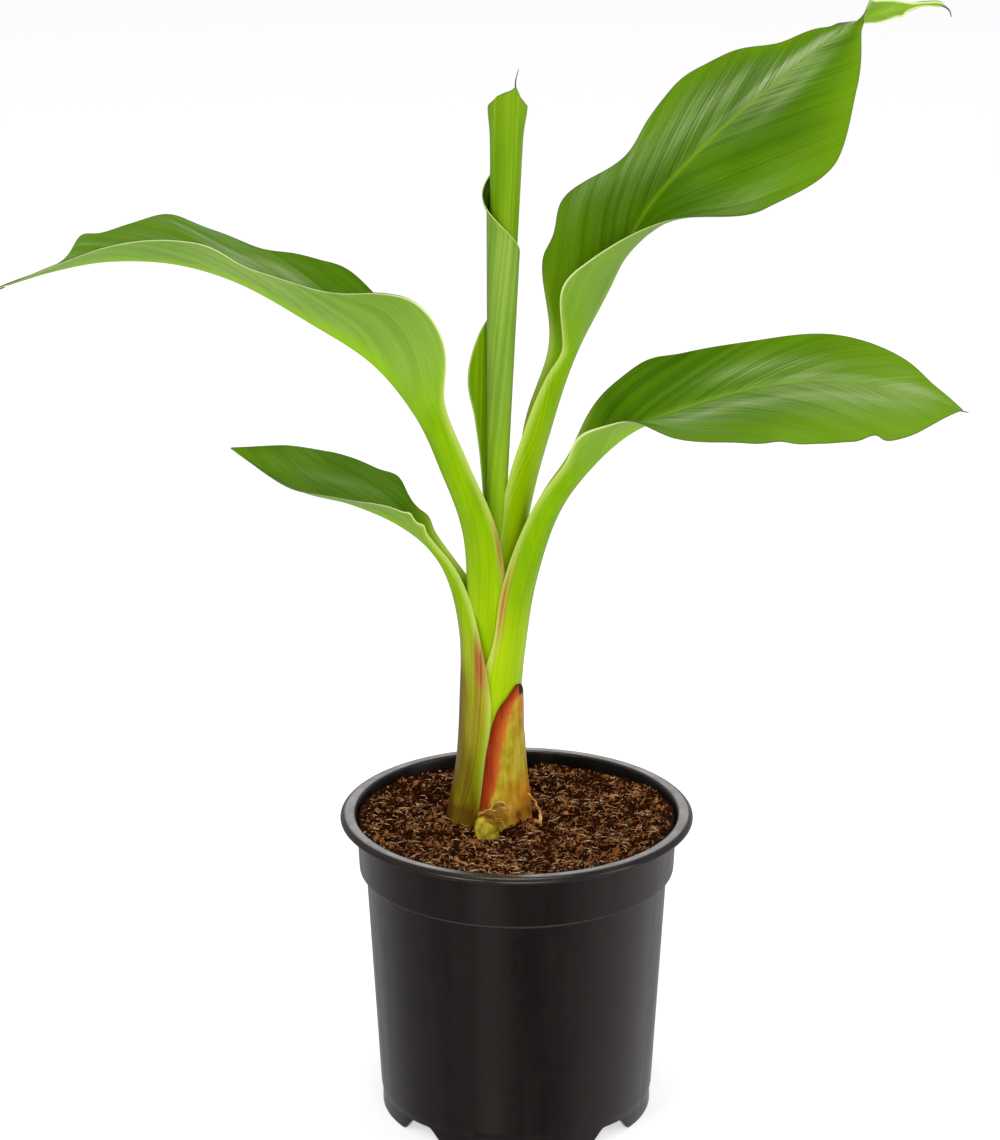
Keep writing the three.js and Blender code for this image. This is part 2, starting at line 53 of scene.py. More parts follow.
POT_HEIGHT = 152.0
POT_WALL = 1.4
RIM_RADIUS = 85.0
RIM_DEPTH = 3.1
COLLAR_TOP_RADIUS = 77.2
COLLAR_FOOT_RADIUS = 76.0
COLLAR_FOOT_Z = 124.0
WALL_TOP_RADIUS = 72.7
WALL_FOOT_RADIUS = 66.1
FOOT_RADIUS = 65.4
FOOT_HEIGHT = 7.6
FOOT_THICKNESS = 2.0
FLOOR_RADIUS = 55.5
FLOOR_Z = 2.0
FLOOR_THICKNESS = 2.0
WEB_Z = 9.0
NOTCHES = 4
NOTCH_LIP = 0.3
NOTCH_AZIMUTH = -45.0
NOTCH_WIDTH = 25.0
NOTCH_SLOPE = 9.5
SOIL_TOP = 143.5
SOIL_RADIUS = 76.2

# Stem

STEM_FOOT = np.array([-13.3, 16.0])
STEM_LEAN = 0.02
STEM_RADIUS = 14.6
STEM_FLARE = 6.0
STEM_FLARE_HEIGHT = 26.0
STEM_CORE_DEPTH = 3.5
FORK_Z = 240.0

# Leaves: sheath rows give height above the soil, offset from the stem's radius, and left and right
# wrap in degrees. Free rows give x, y, z, left and right half width, left and right rise, left and
# right curl, and the turn about the path that lifts the right half, angles in degrees. A ruffle is
# the height of the margins' waves, then the number and phase of the left and of the right ones.
# Bumps are local lobes of a margin: side, place along the rows, spread, extra width and lift.

LEAVES = {
    "upper_right": {
        "azimuth": 35,
        "thickness": 3.0,
        "sheath": [[92.5, -5.4, 105, 128]],
        "free": [
            [5.4, 23, 292, 13, 20, 0, 0, 92, 110, 33],
            [15.7, 28, 336.5, 15, 24, 0, 0, 100, 108, 18],
            [28.5, 35, 371.5, 16, 16.5, 10, 18, 88, 98, 11],
            [44.6, 43, 402, 36, 32.3, 22, 72, 16, 75, -36],
            [60, 52, 435, 29, 36, 16, 42, 8, 60, -50],
            [88, 64, 465, 29, 43, 10, 10, 6, 4, -55],
            [119, 76, 490, 25, 48, 8, 6, 4, 4, -58],
            [146, 86, 509, 9.5, 25, 8, 8, 4, 4, -58],
            [160, 93, 517, 4.4, 7, -40, 10, 4, 4, -20],
            [165, 95, 519.4, 4.6, 7, -60, 6, 4, 4, 40],
            [172, 97, 521.2, 4.8, 6.5, -8, 4, 4, 4, 90],
            [181, 100, 522.4, 3.6, 4.6, 4, 4, 4, 4, 90],
            [188.6, 103, 523.5, 1.7, 1.8, 6, 6, 0, 0, 84],
            [194.9, 105, 524, 1.4, 1.4, 6, 6, 0, 0, 80],
            [202, 106, 523.6, 1.6, 1.6, 6, 6, 0, 0, 76],
            [205, 106.2, 522.6, 0.3, 0.3, 10, 10, 0, 0, 70],
        ],
        "blade_start": 3.2,
        "ruffle": (1.5, (2.2, 0.1), (2.6, 0.45)),
        "bumps": [
            (-1, 4.75, 0.28, 8, 0),
            (-1, 5.4, 0.3, -4, 0),
            (-1, 6.3, 0.3, 2.5, 0),
            (-1, 7.4, 0.35, -4, 0),
            (-1, 8.3, 0.25, -1.5, 0),
            (1, 2.95, 0.22, -4.1, 0),
            (1, 3.6, 0.35, 6, 0),
            (1, 10.7, 0.15, 1.6, 0),
            (-1, 12.3, 0.2, 1, 0),
        ],
    },
    "upper_left": {
        "azimuth": 195,
        "thickness": 3.0,
        "sheath": [[42.5, -2, 118, 112], [92.5, -2, 118, 112]],
        "free": [
            [-25, 8, 287, 21, 19, 0, 0, 112, 102, 0],
            [-36.5, 2, 325, 18, 17, 0, 0, 110, 108, 0],
            [-48.5, -5, 354, 18, 17, 20, 10, 80, 80, 0],
            [-68, -12, 381, 34, 30, 66, 42, 20, 10, 0],
            [-96, -22, 403.5, 35, 36, 38, 32, 8, 6, 0],
            [-126.5, -33, 425, 28, 37, 26, 19, 4, 4, 0],
            [-155, -42, 437, 28, 32, 32, 20, 4, 2, 2],
            [-184, -49, 440.5, 20, 22, 38, 13, 4, 0, 2],
            [-209, -54, 437.5, 11, 4.5, 28, 12, 0, 0, 0],
            [-234, -59, 431, 0.3, 0.3, 10, 10, 0, 0, 0],
        ],
        "blade_start": 4.2,
        "ruffle": (1.4, (2.2, 0.1), (2.6, 0.45)),
        "bumps": [
            (-1, 4.5, 0.35, 3, 0),
            (-1, 5.95, 0.3, 5, 0),
            (-1, 7.3, 0.4, -7, 0),
            (1, 5.65, 0.35, 5, 0),
            (1, 6.7, 0.35, -6, 0),
            (1, 8, 0.4, 5, 0),
            (1, 9.4, 0.24, 9, 0),
        ],
    },
    "right": {
        "azimuth": -15,
        "thickness": 2.4,
        "sheath": [[-3.5, -0.8, 112, 112], [28.5, -0.8, 112, 112], [62.5, -0.8, 105, 105]],
        "free": [
            [4.5, 12, 236, 26, 21, 0, 0, 100, 82, 0],
            [9.2, 10, 265.5, 21, 20, 0, 0, 108, 98, 0],
            [18.5, 5, 298, 18, 17, 0, 0, 112, 108, 0],
            [32, -2, 322.5, 16, 16, 6, 8, 95, 95, -8],
            [53, -11, 346, 26, 13, 25, 40, 15, 35, -20],
            [80, -21, 361.5, 29, 29, 16, 14, 8, 4, -28],
            [112, -31, 374.5, 24, 39.5, 12, 4, 6, 0, -30],
            [144, -40, 380.5, 24, 38, 10, 2, 4, -4, -30],
            [171, -48, 379, 19, 36.5, 10, 2, 4, -4, -28],
            [189, -53, 376, 7.5, 26, 8, 4, 2, 0, -24],
            [203, -57, 372, 0.3, 0.3, 8, 8, 0, 0, -20],
        ],
        "blade_start": 6.2,
        "ruffle": (1.6, (2.0, 0.3), (3.0, 0.1)),
        "bumps": [
            (-1, 7.5, 0.35, 3, 0),
            (1, 6.6, 0.33, 4.5, 2),
            (1, 9.4, 0.2, -2, 0),
            (1, 10.6, 0.25, -1, 0),
            (1, 11, 0.2, -5, 0),
        ],
    },
    "lower_left": {
        "azimuth": 165,
        "thickness": 3.2,
        "sheath": [
            [-3.5, 0, 93, 112],
            [28.5, 0, 97, 112],
            [62.5, 0.3, 104, 110],
            [92.5, 1.2, 84, 90],
        ],
        "free": [
            [-32.3, 22, 261, 14, 11, 0, 0, 100, 88, 0],
            [-42, 28, 275.5, 9, 8, 10, 10, 85, 75, 0],
            [-58.5, 34, 286.5, 14, 13.5, 44, 20, 20, 20, 8],
            [-80, 41, 293.7, 16, 25, 30, 18, 6, 6, 10],
            [-102, 47, 297.5, 15, 28, 28, 14, 0, 4, 10],
            [-121, 52, 306, 9, 22, 30, 12, 0, 0, 10],
            [-138, 56, 317, 0.3, 0.3, 30, 8, 0, 0, 10],
        ],
        "blade_start": 5.2,
        "ruffle": (0.7, (2.0, 0.3), (2.0, 0.1)),
        "bumps": [
            (-1, 5.4, 0.1, 1.5, 1),
            (-1, 5.75, 0.1, 1.5, 1),
            (1, 5.5, 0.2, 2, 0),
            (1, 6.42, 0.32, 5, 0),
        ],
    },
}

# Meshes


def shell_faces(rows, columns):
    """Quads of a closed shell of rings that are stored one after the other: between neighbouring
    points, with the last column joined to the first, and over the first and the last ring in strips
    from each point to the one opposite."""
    i = np.arange(rows - 1)[:, None] * columns
    j = np.arange(columns)[None]
    k = (j + 1) % columns
    wall = np.stack([i + j, i + k, i + columns + k, i + columns + j], -1).reshape(-1, 4)
    near = np.arange(columns // 2 - 1)
    far = columns - 1 - near
    foot = np.stack([near, far, far - 1, near + 1], -1)
    top = np.stack([near, near + 1, far - 1, far], -1) + (rows - 1) * columns
    return np.vstack([wall, foot, top])


def make_piece(name, points, faces, finish, replaced=(), values=None, normals=None):
    """Mesh object in metres from points in millimetres and rows of corner numbers, with named
    numbers for each point that its finish reads. It rides on the body and stands for nodes."""
    mesh = bpy.data.meshes.new(name)
    points = np.asarray(points, float).reshape(-1, 3) * MM
    corners = faces.shape[1]
    mesh.vertices.add(len(points))
    mesh.vertices.foreach_set("co", points.astype(np.float32).ravel())
    mesh.loops.add(faces.size)
    mesh.loops.foreach_set("vertex_index", faces.astype(np.int32).ravel())
    mesh.polygons.add(len(faces))
    mesh.polygons.foreach_set("loop_start", np.arange(0, faces.size, corners, dtype=np.int32))
    mesh.polygons.foreach_set("use_smooth", np.ones(len(faces), dtype=bool))
    mesh.update(calc_edges=True)
    for key, numbers in (values or {}).items():
        layer = mesh.attributes.new(key, "FLOAT", "POINT")
        layer.data.foreach_set("value", np.asarray(numbers, np.float32).ravel())
    if normals is not None:
        mesh.normals_split_custom_set_from_vertices(np.asarray(normals).reshape(-1, 3))
    mesh.materials.append(finish)
    piece = bpy.data.objects.new(name, mesh)
    bpy.context.scene.collection.objects.link(piece)
    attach(piece, BODY)
    if replaced:
        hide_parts(*replaced)


def make_shell(name, rings, finish, replaced=(), values=None, normals=None):
    """Piece whose rings of points are the rows of a grid, closed at both ends."""
    faces = shell_faces(*rings.shape[:2])
    make_piece(name, rings, faces, finish, replaced, values, normals)


def unit(vectors):
    """Vectors divided by their own lengths."""
    return vectors / np.maximum(np.linalg.norm(vectors, axis=-1, keepdims=True), 1e-9)


def grid_normals(points):
    """Unit normals of a grid: the cross product of its differences along rows and columns."""
    return unit(np.cross(np.gradient(points, axis=0), np.gradient(points, axis=1)))


def two_faced(first, second):
    """Rings round a sheet: a grid on its first face, then one on its second face in reverse."""
    return np.concatenate([first, second[:, ::-1]], axis=1)


def sheet_shell(sheet, thickness):
    """Rings round a thin sheet: a grid moved back along its normals, then the grid itself."""
    return two_faced(sheet - grid_normals(sheet) * thickness, sheet)


def ring_angles(columns):
    """Angles of a ring's points, evenly spaced, as a row."""
    return np.linspace(0, 2 * np.pi, columns, endpoint=False)[None]


def round_points(centre, radius, angle, z):
    """Points at heights z whose place in plan is a centre and a radius at an angle from +X."""
    plan = centre + radius[..., None] * np.stack([np.cos(angle), np.sin(angle)], -1)
    return np.concatenate([plan, np.broadcast_to(z, plan.shape[:-1])[..., None]], -1)


def path_length(path):
    """Length along a path from its start to each of its points: the sum of the steps so far."""
    return np.append(0, np.cumsum(np.linalg.norm(np.diff(path, axis=0), axis=1)))


def bell(x, spread):
    """Bell curve: e to the power of minus the square of x over its spread."""
    return np.exp(-((x / spread) ** 2))


def smooth_step(low, high, x):
    """0 below low, 1 above high, and a smooth cubic between."""
    t = np.clip((x - low) / (high - low), 0, 1)
    return t * t * (3 - 2 * t)


LATTICE_STRIDE = np.array([127.1, 311.7, 74.7])
SEED_STRIDE = 53.3
HASH_SCALE = 43758.5


def lumps(points, size, seed):
    """Smooth random number from -1 to 1 at each point: random numbers at the corners of a lattice
    of that cell size, blended across each cell by smooth steps. A corner's random number is the part
    after the point of a large multiple of the sine of its weighted place."""
    scaled = np.asarray(points, float) / size
    cell = np.floor(scaled)
    part = scaled - cell
    part = part * part * (3 - 2 * part)
    stride = LATTICE_STRIDE[: cell.shape[-1]]
    total = np.zeros(cell.shape[:-1])
    for corner in itertools.product((0, 1), repeat=cell.shape[-1]):
        weight = np.prod(np.where(np.array(corner), part, 1 - part), axis=-1)
        wave = np.abs(np.sin((cell + corner) @ stride + SEED_STRIDE * seed))
        total += weight * np.modf(wave * HASH_SCALE)[0]
    return 2 * total - 1


# Finishes


def colour(red, green, blue):
    """Linear colour with alpha from the 0 to 255 values of a screen colour."""
    share = np.array([red, green, blue]) / 255
    linear = np.where(share <= 0.04045, share / 12.92, ((share + 0.055) / 1.055) ** 2.4)
    return (*linear.tolist(), 1.0)


class Nodes:
    """Short ways to add nodes to a node tree."""

    def __init__(self, tree):
        self.tree = tree

    def add(self, kind, inputs, output=0, **settings):
        """One output of a new node whose inputs are linked to sockets or set to values."""
        node = self.tree.nodes.new("ShaderNode" + kind)
        for key, value in settings.items():
            setattr(node, key, value)
        for key, value in inputs.items():
            if isinstance(value, bpy.types.NodeSocket):
                self.tree.links.new(value, node.inputs[key])
            else:
                node.inputs[key].default_value = value
        return node.outputs[output]

    def times(self, a, b):
        """Product of two values."""
        return self.add("Math", {0: a, 1: b}, operation="MULTIPLY")

    def blend(self, *parts):
        """Sum of values, each times its weight."""
        total = 0.0
        for value, weight in reversed(parts):
            total = self.add("Math", {0: value, 1: weight, 2: total}, operation="MULTIPLY_ADD")
        return total

    def between(self, factor, a, b):
        """Value that goes evenly from a to b as the factor goes from 0 to 1."""
        return self.add("Mix", {0: factor, 2: a, 3: b})

    def step(self, value, low, high, start=0.0, end=1.0):
        """Start where the value is low, end where it is high, and a smooth cubic between."""
        edges = {"Value": value, "From Min": low, "From Max": high, "To Min": start, "To Max": end}
        return self.add("MapRange", edges, interpolation_type="SMOOTHSTEP")


class Finish(Nodes):
    """A material with one principled shader, and short ways to build its colours."""

    def __init__(self, name, roughness, specular=0.5, gloss=(1.0, 1.0, 1.0)):
        self.material = bpy.data.materials.new(name)
        self.material.use_nodes = True
        super().__init__(self.material.node_tree)
        self.shader = self.tree.nodes["Principled BSDF"]
        self.shader.inputs["Roughness"].default_value = roughness
        self.shader.inputs["Specular IOR Level"].default_value = specular
        self.shader.inputs["Specular Tint"].default_value = (*gloss, 1.0)

    def value(self, name):
        """The piece's own number of that name."""
        return self.add("Attribute", {}, "Fac", attribute_name=name)

    def place(self):
        """Place on the piece, in metres."""
        return self.add("TexCoord", {}, "Object")

    def stretched(self, scale):
        """Place on the piece, times a scale along each axis."""
        return self.add("Mapping", {"Vector": self.place(), "Scale": scale})

    def streaks(self, value, scale, detail=2.0):
        """Smooth noise along one value: stripes where the value is spread over a surface."""
        inputs = {"W": value, "Scale": scale, "Detail": detail}
        return self.add("TexNoise", inputs, noise_dimensions="1D")

    def grain(self, vector, scale, detail=3.0, roughness=0.5):
        """Smooth noise in space."""
        inputs = {"Vector": vector, "Scale": scale, "Detail": detail, "Roughness": roughness}
        return self.add("TexNoise", inputs)

    def ramp(self, factor, *stops):
        """Tint that follows a factor through stops of position and screen colour."""
        output = self.add("ValToRGB", {"Fac": factor})
        elements = output.node.color_ramp.elements
        for _ in stops[2:]:
            elements.new(0.5)
        for element, (position, tint) in zip(elements, stops):
            element.position = position
            element.color = colour(*tint)
        return output

    def tones(self, noise, spread, *tints):
        """Tint that follows a noise through screen colours, evenly spaced from one spread below its
        middle to one above."""
        places = np.linspace(0.5 - spread, 0.5 + spread, len(tints)).tolist()
        return self.ramp(noise, *zip(places, tints))

    def mix(self, factor, *tints):
        """Tint between two, each an output or a screen colour."""
        a, b = (colour(*tint) if isinstance(tint, tuple) else tint for tint in tints)
        return self.add("Mix", {0: factor, 6: a, 7: b}, 2, data_type="RGBA")

    def bump(self, height, strength, distance):
        """Normals of a surface that is raised by a height times a distance in metres."""
        inputs = {"Height": height, "Strength": strength, "Distance": distance}
        return self.add("Bump", inputs)

    def finish(self, tint, normal=None, roughness=None, specular=None):
        """The material, with outputs linked to its shader."""
        links = {"Base Color": tint, "Normal": normal}
        links |= {"Roughness": roughness, "Specular IOR Level": specular}
        for key, output in links.items():
            if output is not None:
                self.tree.links.new(output, self.shader.inputs[key])
        return self.material


def leaf_finish():
    """Leaf: deep green above and pale below, in streaks along the side veins, with a pale rib, thin
    margins, patches of painted light and streaks of painted sheen; the stalk and sheath turn from
    green to gold, partly as painted light in the shaded fork, with pale margins, and are brown, red
    or darker earthy brown where the piece's numbers say."""
    f = Finish("leaf", 0.36, 0.12, (0.8, 1.0, 0.25))
    vein, fibre, margin = f.value("vein"), f.value("fibre"), f.value("margin")
    upper, on_blade = f.value("upper"), f.value("blade")
    fine = f.streaks(vein, 0.5)
    broad = f.streaks(vein, 0.07)
    crease = f.streaks(fibre, 0.12)
    cloud = f.grain(f.place(), 16.0, 2.0)
    tone = f.blend((fine, 0.22), (broad, 0.3), (cloud, 0.48))
    above = f.tones(tone, 0.14, (42, 78, 0), (58, 98, 0), (76, 118, 2))
    # Paler yellow-green at the tips, and painted light: a glow near the margins and a lit patch over
    # shade.
    above = f.mix(f.value("light"), above, (108, 150, 12))
    hair = f.step(f.streaks(vein, 1.5, 0.0), 0.6, 0.72, 0.0, 0.22)
    above = f.mix(hair, above, (132, 168, 40))
    # Painted sheen: pale grey green streaks along the veins where gloss would catch the light.
    sheen_streaks = f.blend((fine, 0.3), (broad, 0.25), (crease, 0.45))
    painted_sheen = f.times(f.value("painted_sheen"), f.step(sheen_streaks, 0.4, 0.62, 0.12))
    above = f.mix(painted_sheen, above, (146, 164, 112))
    below = f.tones(tone, 0.14, (104, 142, 42), (130, 164, 64))
    blade = f.mix(upper, below, above)
    rib_tint = f.mix(upper, (134, 178, 10), (118, 158, 22))
    blade = f.mix(f.times(f.value("rib"), 0.9), blade, rib_tint)
    edge_below = f.step(margin, 1.3, 0.4, 0.0, 0.9)
    edge_above = f.step(margin, 0.6, 0.2, 0.0, 0.7)
    edge_tint = f.mix(upper, (206, 222, 150), (84, 92, 44))
    blade = f.mix(f.between(upper, edge_below, edge_above), blade, edge_tint)
    line = f.streaks(fibre, 0.9)
    patch = f.grain(f.stretched((30.0, 30.0, 5.0)), 4.0, 2.0)
    streak = f.blend((line, 0.5), (patch, 0.5))
    green = f.tones(streak, 0.14, (106, 150, 0), (130, 172, 2))
    gold = f.tones(streak, 0.14, (146, 182, 2), (168, 198, 14))
    # Gold low on the stalks is their own colour; carried up into the shaded fork it is painted light.
    stalk = f.mix(f.value("pale"), green, gold)
    stalk = f.mix(f.step(margin, 4.2, 0.3, 0.0, 0.55), stalk, (200, 212, 112))
    mottle = f.blend((line, 0.2), (patch, 0.5), (cloud, 0.3))
    olive = f.tones(mottle, 0.14, (96, 70, 8), (126, 111, 15), (158, 150, 40))
    stalk = f.mix(f.value("age"), stalk, olive)
    red = f.tones(streak, 0.14, (134, 62, 26), (190, 120, 72))
    stalk = f.mix(f.value("blush"), stalk, red)
    # Darker earthy brown near the soil, where the 'stain' number says.
    earth = f.tones(mottle, 0.14, (60, 34, 6), (108, 72, 20))
    stalk = f.mix(f.value("stain"), stalk, earth)
    tint = f.mix(on_blade, stalk, blade)
    ridges = f.between(on_blade, f.times(line, 0.6), f.blend((fine, 1.0), (broad, 0.6)))
    return f.finish(tint, f.bump(ridges, 0.3, 0.0004))


def roll_finish():
    """Rolled leaf: bloomy green outside, brighter yellow-green on the inner turn and towards its
    foot, where it is partly painted light in the shaded fork, fresh green on the loose face, with a
    thin pale margin on the outer turn and a dark one at the mouth."""
    f = Finish("rolled_leaf", 0.4, 0.12, (0.85, 1.0, 0.5))
    line = f.streaks(f.value("fibre"), 0.5)
    patch = f.grain(f.stretched((40.0, 40.0, 5.0)), 4.0, 2.0)
    tone = f.blend((line, 0.5), (patch, 0.5))
    outside = f.tones(tone, 0.16, (108, 144, 44), (136, 168, 66))
    # Brighter yellow-green towards the foot: the roll's own colour, and painted light over the fork's
    # shade.
    foot = f.tones(tone, 0.16, (134, 176, 14), (158, 194, 34))
    tint = f.mix(f.value("foot"), outside, foot)
    inside = f.tones(tone, 0.16, (94, 134, 4), (110, 148, 12), (128, 162, 34))
    tint = f.mix(f.value("inner"), tint, inside)
    face = f.tones(tone, 0.16, (100, 144, 0), (132, 170, 14))
    tint = f.mix(f.value("face"), tint, face)
    tint = f.mix(f.times(f.value("shade"), 0.85), tint, (34, 60, 6))
    tint = f.mix(f.step(f.value("margin"), 0.7, 0.25, 0.0, 0.75), tint, (186, 208, 120))
    tint = f.mix(f.step(f.value("lip"), 0.8, 0.25, 0.0, 0.8), tint, (96, 104, 44))
    return f.finish(tint, f.bump(tone, 0.2, 0.0004))


def thread_finish():
    """Dried thread at a leaf's tip: grey brown, paler in places."""
    f = Finish("leaf_thread", 0.6, 0.2)
    patch = f.grain(f.place(), 700.0)
    return f.finish(f.tones(patch, 0.15, (74, 64, 62), (128, 114, 104)))


def scrap_finish():
    """Dry papery scraps of old leaf base: tan, with brown stains."""
    f = Finish("dry_scrap", 0.7, 0.2)
    stain = f.grain(f.place(), 240.0, 4.0, 0.6)
    tint = f.tones(stain, 0.16, (138, 82, 20), (204, 148, 58), (238, 206, 124))
    return f.finish(tint, f.bump(stain, 0.4, 0.0005))


def stub_finish():
    """Old cut leaf base: yellow olive, orange in places, a red band along one margin, brown at its
    foot, and a black torn tip."""
    f = Finish("old_sheath", 0.45, 0.12, (1.0, 0.85, 0.6))
    line = f.streaks(f.value("fibre"), 0.8)
    patch = f.grain(f.stretched((45.0, 45.0, 9.0)), 6.0)
    stain = f.grain(f.place(), 150.0, 4.0, 0.6)
    tone = f.blend((line, 0.2), (patch, 0.45), (stain, 0.35))
    body = f.tones(tone, 0.14, (146, 108, 22), (178, 160, 36), (198, 192, 74))
    orange = f.tones(tone, 0.14, (182, 92, 12), (220, 156, 46))
    tint = f.mix(f.value("glow"), body, orange)
    from_edge = f.blend((f.value("margin"), 0.09), (tone, 0.5))
    red = f.ramp(from_edge, (0.25, (112, 28, 6)), (0.55, (158, 54, 12)), (0.95, (200, 112, 46)))
    tint = f.mix(f.value("band"), tint, red)
    brown = f.ramp(stain, (0.36, (62, 32, 10)), (0.5, (124, 66, 20)), (0.66, (168, 110, 46)))
    tint = f.mix(f.value("age"), tint, brown)
    tint = f.mix(f.value("torn"), tint, (16, 12, 9))
    return f.finish(tint, f.bump(tone, 0.4, 0.0005))


def bud_finish():
    """Side bud: yellow olive with brown tips."""
    f = Finish("side_bud", 0.5, 0.08)
    stain = f.grain(f.place(), 260.0)
    body = f.tones(stain, 0.16, (104, 76, 16), (194, 178, 44))
    brown = f.tones(stain, 0.16, (92, 50, 16), (164, 108, 48))
    return f.finish(f.mix(f.value("torn"), body, brown), f.bump(stain, 0.4, 0.0006))


def mix_finish(name, dark, light):
    """Potting mix of one tone: two colours dealt out by a grain, with a rough surface."""
    f = Finish(name, 0.85, 0.03)
    specks = f.grain(f.place(), 420.0, 4.0, 0.65)
    return f.finish(f.tones(specks, 0.2, dark, light), f.bump(specks, 0.6, 0.0006))


def pot_finish():
    """Moulded black plastic: satin, with faint upright flow marks and fine scuffs, and dull inside."""
    f = Finish("pot_plastic", 0.3, 0.5, (1.0, 0.86, 0.82))
    flow = f.grain(f.stretched((40.0, 40.0, 1.5)), 3.0)
    scuff = f.grain(f.place(), 90.0, 6.0, 0.6)
    wear = f.blend((flow, 0.6), (scuff, 0.4))
    tint = f.tones(wear, 0.15, (8, 6, 5), (16, 13, 12))
    rough = f.step(wear, 0.35, 0.65, 0.22, 0.34)
    shine = f.step(f.value("inside"), 0.0, 1.0, 0.5, 0.04)
    return f.finish(tint, f.bump(scuff, 0.1, 0.0003), rough, shine)


# Leaves

# First columns of a row's pairs, and the column of its turn.
WIDTH, RISE, CURL, TURN = 3, 5, 7, 9
NEARBY = 1e-3
LEAST_WIDTH = 0.1
LEAST_CURL = 1e-4
PATH_STEPS = 3000


def along_rows(rows, places):
    """Values at places along the rows, on the cubic through all of them whose slope at each row is
    half the difference of its two neighbours. Past the ends the rows run on straight."""
    span = np.clip(np.floor(places).astype(int), 0, len(rows) - 2)
    t = (places - span)[:, None]
    run = np.vstack([2 * rows[:1] - rows[1:2], rows, 2 * rows[-1:] - rows[-2:-1]])
    p0, p1, p2, p3 = run[span], run[span + 1], run[span + 2], run[span + 3]
    square = 2 * p0 - 5 * p1 + 4 * p2 - p3
    cube = 3 * p1 - p0 - 3 * p2 + p3
    return p1 + 0.5 * t * (p2 - p0 + t * (square + t * cube))


def even_places(rows, start, end, count):
    """Places that cut the path from start to end into equal lengths."""
    fine = np.linspace(start, end, PATH_STEPS)
    length = path_length(along_rows(rows, fine)[:, :3])
    return np.interp(np.linspace(0, length[-1], count), length, fine)


def stem_radius(z):
    """Radius of the stem's outside: a constant and a flare that dies away with height."""
    return STEM_RADIUS + STEM_FLARE * np.exp((SOIL_TOP - z) / STEM_FLARE_HEIGHT)


def stem_centre(z):
    """Centre of the stem in plan: its foot, and an even lean to the right with height."""
    return STEM_FOOT + np.stack([STEM_LEAN * (z - SOIL_TOP), 0 * z], -1)


def leaf_rows(leaf):
    """All rows of a leaf: its sheath rows, as arcs of the stem's own round, then its free rows."""
    rows = []
    azimuth = math.radians(leaf["azimuth"])
    for height, offset, left, right in leaf["sheath"]:
        z = SOIL_TOP + height
        radius = stem_radius(z) + offset
        plan = stem_centre(z) + radius * np.array([math.cos(azimuth), math.sin(azimuth)])
        arcs = [radius * math.radians(left), radius * math.radians(right)]
        rows.append([*plan, z, *arcs, 0, 0, left, right, 0])
    return np.array(rows + leaf["free"], float)


def leaf_face(leaf, rows, places, across):
    """Outer face of a leaf on a grid of places along it and shares across it, from -1 at the left
    margin to 1 at the right. Each half is an arc in the plane across the path, which leaves the
    midrib at its rise and turns through its curl; waves and bumps lift its margin. The face is
    returned with the direction up from the path and the half widths."""
    values = along_rows(rows, places)
    ahead, behind = along_rows(rows, places + NEARBY), along_rows(rows, places - NEARBY)
    along = unit(ahead[:, :3] - behind[:, :3])
    azimuth = math.radians(leaf["azimuth"])
    right = np.array([math.sin(azimuth), -math.cos(azimuth), 0.0])
    right = unit(right - along * (along @ right)[:, None])
    up = np.cross(right, along)
    turn = np.radians(values[:, [TURN]])
    right, up = right * np.cos(turn) + up * np.sin(turn), up * np.cos(turn) - right * np.sin(turn)
    on_right = (across >= 0)[None]
    share = np.abs(across)[None]
    pairs = [(values[:, [k + 1]], values[:, [k]]) for k in (WIDTH, RISE, CURL)]
    half, rise, curl = (np.where(on_right, *pair) for pair in pairs)
    bulges = [
        (bell(places - place, spread)[:, None] * (np.sign(across) == side), widen, height)
        for side, place, spread, widen, height in leaf["bumps"]
    ]
    half = np.maximum(half + sum(near * widen for near, widen, _ in bulges), LEAST_WIDTH)
    rise, curl = np.radians(rise), np.radians(curl)
    curl = np.where(np.abs(curl) < LEAST_CURL, LEAST_CURL, curl)
    out = half * (np.sin(rise + curl * share) - np.sin(rise)) / curl
    lift = half * (np.cos(rise) - np.cos(rise + curl * share)) / curl
    start = leaf["blade_start"]
    done = np.clip((places - start) / (len(rows) - 1 - start), 0, None)[:, None]
    tall, left_wave, right_wave = leaf["ruffle"]
    waves, phase = (np.where(on_right, *pair) for pair in zip(right_wave, left_wave))
    wave = np.sin(np.pi * done) * np.sin(2 * np.pi * (waves * done + phase))
    lift = lift + tall * wave * share**2
    lift = lift + sum(near * height for near, _, height in bulges) * share**3
    outward = (np.sign(across)[None] * out)[..., None] * right[:, None]
    return values[:, None, :3] + outward + lift[..., None] * up[:, None], up[:, None], half


def spots(along, across, rows):
    """Sum of soft spots. Each row gives its place along, as a height or a share, the spread of a
    bell round it, its share across, the spread of a bell round that, and its strength."""
    total = np.zeros(np.broadcast(along, across).shape)
    for place, tall, share, wide, strength in rows:
        total += strength * bell(along - place, tall) * bell(across - share, wide)
    return np.clip(total, 0, 1)


STALK_ROWS = 140
BLADE_ROWS = 300
ACROSS = 81
# Share of even spacing across a leaf; the rest draws the columns closer together at the midrib.
EVEN_ACROSS = 0.65
# Rows before and after the blade's start over which a stalk becomes a blade.
BLADE_FADE = (0.5, 0.8)
BLADE_THICKNESS = 0.5
STALK_EDGE = 0.5
KEEL = 2.0
KEEL_FADE = 0.75
# Groove over the midrib: its share of the keel, and a half width with the rib's share in it.
GROOVE = 0.4
GROOVE_HALF, GROOVE_RIB_SHARE = 0.6, 0.4
# Half widths of the midrib: at the tip, what is added at the foot, and the power of its taper.
RIB = (0.8, 4.0, 1.3)
RIB_TINT_ABOVE = (0.45, 2.2, 2)
RIB_TINT_BELOW = (1.0, 4.5, 1)
# What the rib's tint has lost at the tip, above and below.
TINT_FADE_ABOVE, TINT_FADE_BELOW = 0.7, 0.5
